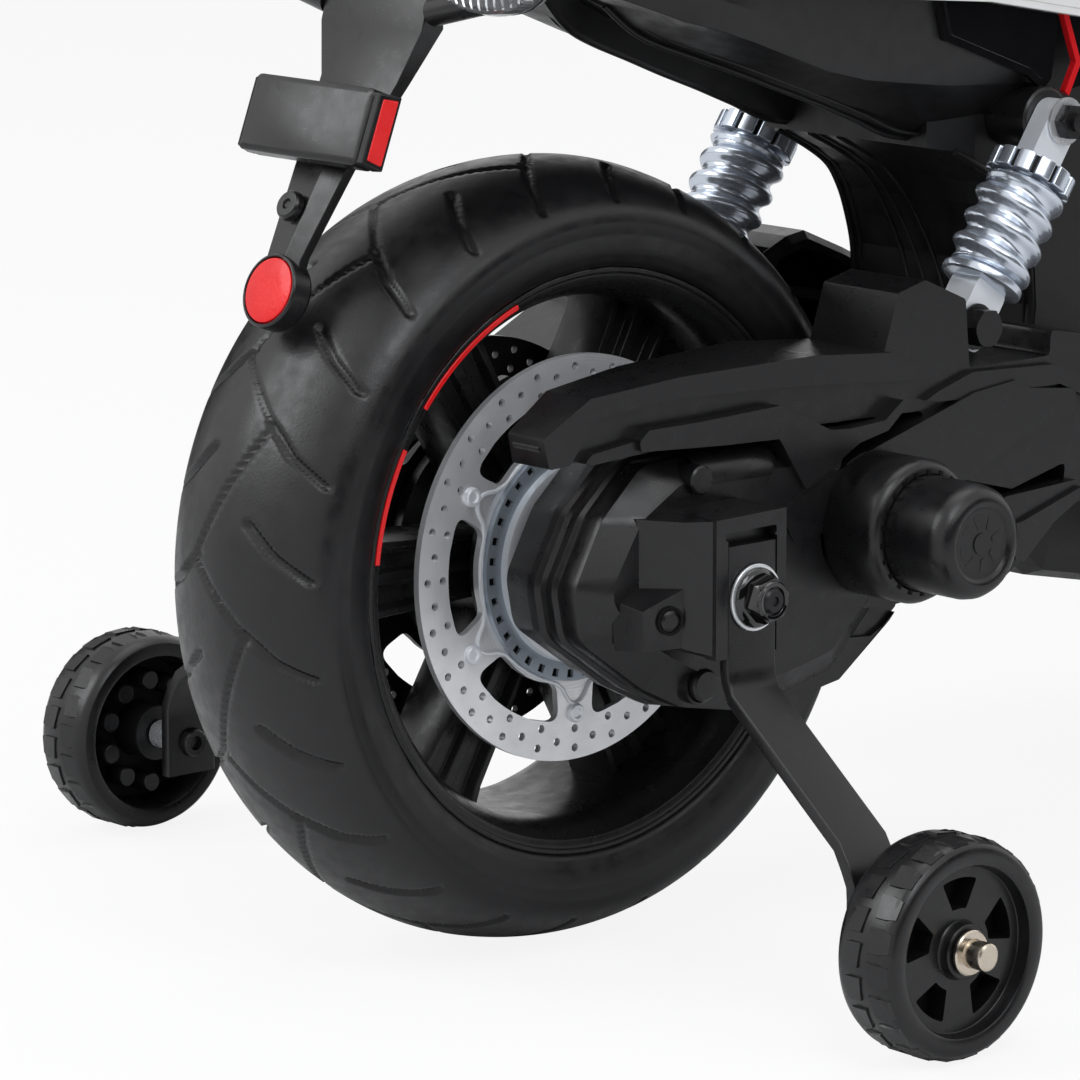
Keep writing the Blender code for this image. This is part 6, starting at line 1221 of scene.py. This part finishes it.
def build_panels(side):
    """The gloss side panel with its rolled edge, the wing before it with a red line, and the white cover."""
    name = "left" if side > 0 else "right"

    def slab(points, corner, near, far):
        low, high = sorted((side * near, side * far))
        return plate([rounded(points, corner, 4)], low, high)

    near = 0.0664
    panel = [
        (0.1500, 0.3600), (0.1513, 0.3531), (0.1555, 0.3371), (0.1782, 0.3288), (0.2019, 0.3200), (0.2105, 0.3138), (0.2150, 0.3180),
        (0.2186, 0.3400), (0.2180, 0.3600),
    ]
    raised = [
        (0.1535, 0.3595), (0.1546, 0.3535), (0.1586, 0.3394), (0.1790, 0.3318), (0.2025, 0.3232), (0.2100, 0.3180), (0.2124, 0.3200),
        (0.2156, 0.3400), (0.2150, 0.3595),
    ]
    parts = [(slab(panel, 0.0020, near, near + 0.0022), "gloss"), (slab(raised, 0.0020, near, near + 0.0030), "gloss")]
    wing = [(0.2222, 0.3600), (0.2230, 0.3440), (0.2300, 0.3240), (0.2240, 0.3130), (0.2700, 0.3180), (0.2860, 0.3580)]
    parts.append((slab(wing, 0.0015, near, near + 0.0024), "gloss"))
    line = [(0.2196, 0.3470), (0.2211, 0.3416), (0.2282, 0.3237), (0.2222, 0.3125), (0.2245, 0.3105), (0.2312, 0.3232), (0.2236, 0.3425), (0.2222, 0.3475)]
    parts.append((slab(line, 0.0004, near, near + 0.0029), "red_body"))
    solid("gloss_panel_" + name, parts, "chassis", ("side_panel_" + name,), bevel=0.0007, limit=28, segments=3)
    low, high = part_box("body_cover_" + name)
    outer = max(abs(low.y), abs(high.y))
    cover = [
        (-0.0500, 0.3960), (-0.0300, 0.3800), (0.1180, 0.3565), (0.1722, 0.3516), (0.2314, 0.3408), (0.2900, 0.3388), (0.4200, 0.3300),
        (0.5000, 0.3260), (0.4950, 0.3960),
    ]
    inset = [
        (-0.0440, 0.3944), (-0.0280, 0.3826), (0.1190, 0.3593), (0.1730, 0.3544), (0.2320, 0.3436), (0.2904, 0.3416), (0.4206, 0.3328),
        (0.4968, 0.3290), (0.4922, 0.3944),
    ]
    parts = [(slab(cover, 0.0070, near, outer - 0.0007), "white"), (slab(inset, 0.0060, near, outer), "white")]
    solid("white_cover_" + name, parts, "chassis", ("body_cover_" + name,), bevel=0.0006, limit=28, segments=3)


# Number plate arm, reflectors and lights

def build_plate_arm():
    line = [
        (-0.1195, 0.2620, 0.0085, 0.0050), (-0.1165, 0.2727, 0.0095, 0.0050), (-0.0985, 0.3050, 0.0145, 0.0060),
        (-0.0805, 0.3350, 0.0215, 0.0085), (-0.0745, 0.3540, 0.0285, 0.0125), (-0.0710, 0.3670, 0.0285, 0.0090),
        (-0.0673, 0.3745, 0.0285, 0.0050), (-0.0673, 0.3940, 0.0270, 0.0050),
    ]
    sections = []
    for x, z, half, depth in line:
        sections.append([(x, half, z), (x - 0.0026, -half * 0.30, z), (x, -half, z), (x + depth, -half * 0.92, z), (x + depth, half * 0.92, z)])
    parts = [(loft(sections), "satin")]
    turn = math.radians(20.5)
    cup_at = Matrix.Translation((-0.1241, 0.0, 0.2615)) @ Matrix.Rotation(turn, 4, "Y")
    cup = [
        (0.0, 0.0022), (0.0124, 0.0022), (0.0127, 0.0), (0.0134, -0.0001), (0.0140, 0.0006), (0.0140, 0.0080), (0.0125, 0.0100), (0.0, 0.0105),
    ]
    parts.append((moved(turned(cup, (0, 0, 0), (1, 0, 0), 80), cup_at), "satin"))
    screw = Matrix.Translation((-0.1107, 0.0030, 0.2907)) @ Matrix.Rotation(math.radians(29.0), 4, "Y")
    washer = [(0.0, -0.0012), (0.0015, -0.0012), (0.0020, -0.0024), (0.0048, -0.0024), (0.0056, -0.0014), (0.0058, 0.0010)]
    parts.append((moved(turned(washer, (0, 0, 0), (1, 0, 0), 40), screw), "satin"))
    solid("folded_arm", parts, "chassis", ("plate_arm",), bevel=0.0010, limit=22, segments=3)
    lens = [(0.0, -0.0004), (0.0060, -0.0004), (0.0112, -0.0003), (0.0120, 0.0000), (0.0123, 0.0008), (0.0123, 0.0020)]
    parts = [(moved(turned(lens, (0, 0, 0), (1, 0, 0), 80), cup_at), "red_lens")]
    solid("round_reflector", parts, "chassis", ("rear_reflector",), angle=40)

    plate_at = Matrix.Translation((-0.1066, 0.0, 0.3229)) @ Matrix.Rotation(turn, 4, "Y")
    half, tall = 0.0335, 0.0145
    face = rounded([(-half, -tall), (half, -tall), (half, tall), (-half, tall)], 0.0030, 5)
    inset = rounded([(-half + 0.002, -tall + 0.002), (half - 0.002, -tall + 0.002), (half - 0.002, tall - 0.002), (-half + 0.002, tall - 0.002)], 0.0015, 5)
    sections = [
        [(0.0, y, z) for y, z in inset], [(0.0010, y, z) for y, z in face], [(0.0100, y, z) for y, z in face],
    ]
    parts = [(moved(loft(sections), plate_at), "satin")]
    for side in (-1, 1):
        cheek = [
            [(0.0012, side * 0.0330, 0.0134), (0.0012, side * 0.0330, -0.0134), (0.0100, side * 0.0330, -0.0144), (0.0100, side * 0.0330, 0.0144)],
            [(0.0022, side * 0.0356, 0.0130), (0.0022, side * 0.0356, -0.0130), (0.0100, side * 0.0386, -0.0140), (0.0100, side * 0.0386, 0.0140)],
        ]
        parts.append((moved(loft(cheek), plate_at), "satin"))
        red = [
            [(0.0034, side * 0.0350, 0.0116), (0.0034, side * 0.0350, -0.0116), (0.0090, side * 0.0374, -0.0124), (0.0090, side * 0.0374, 0.0124)],
            [(0.0036, side * 0.0368, 0.0114), (0.0036, side * 0.0368, -0.0114), (0.0088, side * 0.0388, -0.0122), (0.0088, side * 0.0388, 0.0122)],
        ]
        parts.append((moved(loft(red), plate_at), "red_lens"))
    solid("plate_case", parts, "chassis", ("plate_box",), bevel=0.0005, limit=35, segments=2)


def build_signals():
    for side in (-1, 1):
        name = "left" if side > 0 else "right"
        x, z = -0.0690, 0.3610
        parts = [(rod(0.0053, (x, side * 0.0290, z), (x, side * 0.0550, z + 0.0060), 28), "satin")]
        stations = ((0.0118, 0.0055, 0.0110), (0.0100, 0.0080, 0.0160), (0.0060, 0.0107, 0.0215), (-0.0010, 0.0122, 0.0262))
        rings = []
        for dx, high, wide in stations:
            rings.append([(x + dx, side * 0.0655 + wide * math.cos(math.tau * k / 40), z + 0.0140 + high * math.sin(math.tau * k / 40)) for k in range(40)])
        parts.append((loft(rings), "satin"))
        lens = []
        for dx, high, wide in ((-0.0010, 0.0118, 0.0256), (-0.0050, 0.0122, 0.0270), (-0.0090, 0.0112, 0.0250), (-0.0112, 0.0080, 0.0190), (-0.0120, 0.0030, 0.0080)):
            lens.append([(x + dx, side * 0.0655 + wide * math.cos(math.tau * k / 40), z + 0.0140 + high * math.sin(math.tau * k / 40)) for k in range(40)])
        parts.append((loft(lens), "lens"))
        for k in range(-5, 6):
            y = side * 0.0655 + k * 0.0042
            high = 0.0098 * math.sqrt(max(0.05, 1 - (k * 0.0042 / 0.0262) ** 2))
            parts.append((box((x - 0.0100, y - 0.0006, z + 0.0140 - high), (x - 0.0040, y + 0.0006, z + 0.0140 + high)), "silver"))
        solid("winker_" + name, parts, "chassis", ("turn_signal_" + name,), angle=35)


# Tank, fender and headlight shell

def smooth_body(stations, corner, low_corner, spans=10):
    """A body through stations of (x, low, high, half width), its outline running smoothly between them."""
    run = smooth_line([(x, low, high) for x, low, high, half in stations], spans)
    widths = smooth_line([(x, half, 0.0) for x, low, high, half in stations], spans)
    sections = []
    for point, width in zip(run, widths):
        x, low, high = point
        half = width.y
        outline = rounded([(-half, low), (half, low), (half, high), (-half, high)], [low_corner, low_corner, corner, corner], 10)
        sections.append([(x, y, z) for y, z in outline])
    return loft(sections)


def carved(piece, cutters):
    """The piece with the cutters' shapes taken out of it."""
    for shape in cutters:
        mesh = bpy.data.meshes.new("cutter")
        mesh.from_pydata([tuple(p) for p in shape[0]], [], shape[1])
        bm = bmesh.new()
        bm.from_mesh(mesh)
        bmesh.ops.recalc_face_normals(bm, faces=bm.faces)
        bm.to_mesh(mesh)
        bm.free()
        cutter = bpy.data.objects.new("cutter", mesh)
        bpy.context.scene.collection.objects.link(cutter)
        cut = piece.modifiers.new("cut", "BOOLEAN")
        cut.operation = "DIFFERENCE"
        cut.solver = "EXACT"
        cut.object = cutter
        graph = bpy.context.evaluated_depsgraph_get()
        carved_mesh = bpy.data.meshes.new_from_object(piece.evaluated_get(graph))
        piece.modifiers.remove(cut)
        piece.data = carved_mesh
        bpy.data.objects.remove(cutter, do_unlink=True)
    piece.data.set_sharp_from_angle(angle=math.radians(35))


def build_front():
    base, top, half = 0.4003, 0.5000, 0.0800
    rise = top - base
    stations = [
        (0.3840, base, base + rise * 0.34, half * 0.78), (0.4126, base, base + rise * 0.74, half * 0.94), (0.4386, base, top - 0.0012, half),
        (0.4600, base, top, half), (0.4900, base, top, half * 0.985), (0.5070, base + rise * 0.015, top - rise * 0.035, half * 0.95),
        (0.5138, base + rise * 0.05, top - rise * 0.11, half * 0.90),
    ]
    tank = solid("smooth_tank", [(smooth_body(stations, 0.034, 0.008), "white")], "chassis", ("tank_cover",), angle=35)
    here = Matrix.Translation(SHIFT)
    low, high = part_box("power_button")
    button = ((low.x + high.x) / 2, (low.y + high.y) / 2)
    well = turned([(0.0, -0.009), (0.0093, -0.009), (0.0093, 0.01), (0.0, 0.01)], (button[0], button[1], top), (0, 0, 1), 48)
    low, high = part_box("direction_switch")
    slot = box((low.x - 0.0008, low.y - 0.0004, top - 0.009), (high.x + 0.0008, high.y + 0.0004, top + 0.01))
    carved(tank, [well, slot])
    cap = [(0.0, 0.0042), (0.0130, 0.0042), (0.0150, 0.0036), (0.0158, 0.0020), (0.0162, 0.0004), (0.0182, 0.0), (0.0182, -0.0015), (0.0, -0.0015)]
    parts = [(turned(cap, (0.4460, 0.0, top - 0.0016), (0, 0, 1), 64), "satin")]
    parts.append((box((0.4345, -0.0022, top), (0.4575, 0.0022, top + 0.0042)), "satin"))
    solid("filler_cap", parts, "chassis", (), bevel=0.0005, limit=35)

    outer = [(-0.0426, 0.1335), (-0.0426, 0.1440), (-0.0416, 0.1520), (-0.0360, 0.1588), (-0.0190, 0.1621), (0.0, 0.1628)]
    outer = smooth_line([(y, 0.0, r) for y, r in outer + [(-y, r) for y, r in reversed(outer[:-1])]], 4)
    profile = [(p.x, p.z) for p in outer]
    profile += [(y * 0.0397 / 0.0426, r - 0.0030 * min(1.0, max(0.0, (r - 0.1400) / 0.015))) for y, r in reversed(profile)]
    sections = []
    for k in range(73):
        angle = math.radians(27.0 + 138.0 * k / 72)
        ends = min(k, 72 - k) / 5.0
        lift = 0.0 if ends >= 1 else 0.006 * (1 - ends) ** 2
        sections.append([
            (WHEELBASE + (r + (lift if r < 0.150 else 0.0)) * math.cos(angle), y, WHEEL_R + (r + (lift if r < 0.150 else 0.0)) * math.sin(angle))
            for y, r in profile
        ])
    parts = [(loft(sections), "white")]
    for side in (-1, 1):
        for turn in (78.0, 108.0):
            angle = math.radians(turn)
            place = (WHEELBASE + 0.1400 * math.cos(angle), side * 0.0420, WHEEL_R + 0.1400 * math.sin(angle))
            parts.append((turned([(0.0, 0.0009), (0.0014, 0.0009), (0.0020, 0.0004), (0.0024, -0.0004)], place, (0, side, 0), 24), "satin"))
    solid("smooth_fender", parts, "steering", ("front_fender",), angle=40)

    near = FORK_OFFSET + 0.018 + 0.0003
    stations = [
        (near, -0.0520, 0.0660, 0.0660), (near + 0.0090, -0.0548, 0.0685, 0.0710), (near + 0.0200, -0.0560, 0.0700, 0.0738),
        (near + 0.0350, -0.0525, 0.0682, 0.0714), (near + 0.0500, -0.0460, 0.0640, 0.0655), (near + 0.0640, -0.0380, 0.0570, 0.0560),
        (near + 0.0740, -0.0300, 0.0500, 0.0460),
    ]
    shell = smooth_body(stations, 0.034, 0.030, 8)
    piece = solid("smooth_lamp_shell", [(shell, "red_body")], "steering", ("headlight_shell",), angle=40, place=STEER)
    well = turned([(0.0, 0.0600), (0.0304, 0.0600), (0.0304, 0.1200), (0.0, 0.1200)], (near, 0.0, 0.010), (1, 0, 0), 72)
    carved(piece, [moved(well, here @ STEER)])
    ring = [(0.0304, 0.0735), (0.0304, 0.0756), (0.0312, 0.0762), (0.0330, 0.0760), (0.0345, 0.0745), (0.0350, 0.0735)]
    solid("lamp_ring", [(turned(ring, (near, 0.0, 0.010), (1, 0, 0), 96, True), "silver")], "steering", (), bevel=0.0002, limit=40, place=STEER)


# The seat's cushion

def build_seat():
    """The padded saddle: a crowned vinyl cover, swollen by cloth pressure, with sewn channels and a welt."""
    base = 0.4003
    back, nose, half_full, thick = -0.0290, 0.3790, 0.0830, 0.0450
    count = 25
    sections = []
    for i in range(count):
        t = i / (count - 1)
        x = back + (nose - back) * t
        half = half_full * (0.72 + 0.28 * math.sin(math.pi * min(1.0, (1 - t) * 1.15) ** 0.8))
        half *= 1.0 - 0.30 * max(0.0, t - 0.55) / 0.45
        lift = thick * (0.76 + 0.26 * (1 - t) ** 2)
        end = min(t, 1 - t) / 0.10
        if end < 1:
            half *= 0.80 + 0.20 * math.sqrt(max(0.0, 1 - (1 - end) ** 2))
            lift *= 0.55 + 0.45 * math.sqrt(max(0.0, 1 - (1 - end) ** 2))
        shape = [(-0.90, 0.02), (-0.985, 0.20), (-0.985, 0.45), (-0.93, 0.70), (-0.80, 0.88), (-0.58, 0.965), (-0.30, 0.995), (0.0, 1.0)]
        full = shape + [(-y, z) for y, z in reversed(shape[:-1])]
        sections.append([(x, y * half, base + z * lift) for y, z in full])
    shape = loft(sections)
    mesh = bpy.data.meshes.new("saddle_cushion")
    mesh.from_pydata([tuple(p) for p in shape[0]], [], shape[1])
    bm = bmesh.new()
    bm.from_mesh(mesh)
    bmesh.ops.recalc_face_normals(bm, faces=bm.faces)
    bm.to_mesh(mesh)
    bm.free()
    mesh.transform(Matrix.Translation(SHIFT))
    piece = bpy.data.objects.new("saddle_cushion", mesh)
    bpy.context.scene.collection.objects.link(piece)
    bpy.context.view_layer.objects.active = piece
    swell(piece)
    settle(piece, base, back, nose)
    mesh = piece.data
    mesh.materials.clear()
    mesh.materials.append(M["vinyl"])
    mesh.shade_smooth()
    finer = piece.modifiers.new("finer", "SUBSURF")
    finer.levels = 1
    finer.render_levels = 1
    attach(piece, "chassis")
    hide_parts("seat")


def swell(piece):
    remesh = piece.modifiers.new("remesh", "REMESH")
    remesh.mode = "VOXEL"
    remesh.voxel_size = 0.005
    apply_modifiers(piece)
    rest = np.zeros(len(piece.data.vertices) * 3)
    piece.data.vertices.foreach_get("co", rest)
    rest = rest.reshape(-1, 3)
    cloth = piece.modifiers.new("cloth", "CLOTH")
    cloth.settings.use_pressure = True
    cloth.settings.uniform_pressure_force = 4.0
    cloth.settings.effector_weights.gravity = 0.0
    cloth.settings.quality = 5
    cloth.point_cache.frame_start = 1
    cloth.point_cache.frame_end = 20
    scene = bpy.context.scene
    for step in range(1, 21):
        scene.frame_set(step)
    graph = bpy.context.evaluated_depsgraph_get()
    moved_mesh = piece.evaluated_get(graph).to_mesh()
    after = np.zeros(len(moved_mesh.vertices) * 3)
    moved_mesh.vertices.foreach_get("co", after)
    after = after.reshape(-1, 3)
    piece.evaluated_get(graph).to_mesh_clear()
    piece.modifiers.remove(cloth)
    shift = after - rest
    size = np.linalg.norm(shift, axis=1)
    most = 0.005
    shift *= np.where(size > most, most / np.maximum(size, 1e-9), 1.0)[:, None]
    piece.data.vertices.foreach_set("co", (rest + shift).reshape(-1))
    piece.data.update()
    scene.frame_set(1)


def apply_modifiers(piece):
    graph = bpy.context.evaluated_depsgraph_get()
    mesh = bpy.data.meshes.new_from_object(piece.evaluated_get(graph))
    piece.modifiers.clear()
    piece.data = mesh


def settle(piece, base, back, nose):
    """Flat where it rests on the deck, with channels sewn across it and a seam round its edge."""
    co = np.zeros(len(piece.data.vertices) * 3)
    piece.data.vertices.foreach_get("co", co)
    co = co.reshape(-1, 3)
    x = co[:, 0] - SHIFT.x
    high = np.clip((co[:, 2] - base) / 0.03, 0.0, 1.0)
    for at, deep in ((0.045, 0.0030), (0.115, 0.0030), (0.185, 0.0030), (0.255, 0.0026)):
        bend = at + 0.012 * (1 - (co[:, 1] / 0.08) ** 2)
        co[:, 2] -= deep * high * np.exp(-((x - bend) / 0.0032) ** 2)
    seam = np.exp(-((co[:, 2] - base - 0.0250) / 0.0022) ** 2)
    side = np.abs(co[:, 1]) > 0.035
    co[:, 1] -= np.sign(co[:, 1]) * 0.0013 * seam * side
    co[:, 2] = np.maximum(co[:, 2], base)
    piece.data.vertices.foreach_set("co", co.reshape(-1))
    piece.data.update()


# The CAD pieces that keep their own shape

KEPT = {
    "frame_body": "matte", "red_trim_right": "red_body", "red_trim_left": "red_body",
    "swingarm_left": "satin", "swingarm_pivot": "satin", "drive_motor": "zinc", "battery": "case",
    "controller": "case", "tail_light": "red_lens", "fork": "satin", "front_axle": "zinc",
    "headlight_lens": "lens", "windscreen": "smoke", "handlebar": "satin",
    "grip_right": "grip", "grip_left": "grip", "foot_board_right": "matte", "foot_board_left": "matte",
    "foot_pedal": "satin", "power_button": "control_red", "direction_switch": "grey",
}
SOFTENED = {
    "frame_body": (0.0020, 32, 2), "swingarm_left": (0.0008, 32, 2), "fork": (0.0006, 32, 2), "windscreen": (0.0010, 20, 2), "handlebar": (0.0010, 20, 2),
}


def dress_kept():
    for name, material in KEPT.items():
        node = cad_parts[name]
        node.data.materials.clear()
        node.data.materials.append(M[material])
        if name in SOFTENED:
            width, limit, segments = SOFTENED[name]
            edge = node.modifiers.new("rounded_edges", "BEVEL")
            edge.width = width
            edge.segments = segments
            edge.limit_method = "ANGLE"
            edge.angle_limit = math.radians(limit)
            edge.harden_normals = True


build_stage()
build_wheels()
build_housing()
build_motor()
build_right_arm()
build_axle()
for side in (-1, 1):
    build_stabiliser(side)
    build_shock(side)
    build_panels(side)
build_arch()
build_tail()
build_plate_arm()
build_signals()
build_front()
build_seat()
dress_kept()

bpy.context.scene.view_settings.view_transform = "Standard"


def corners(found):
    return [[float(v) for v in corner] for corner in found]
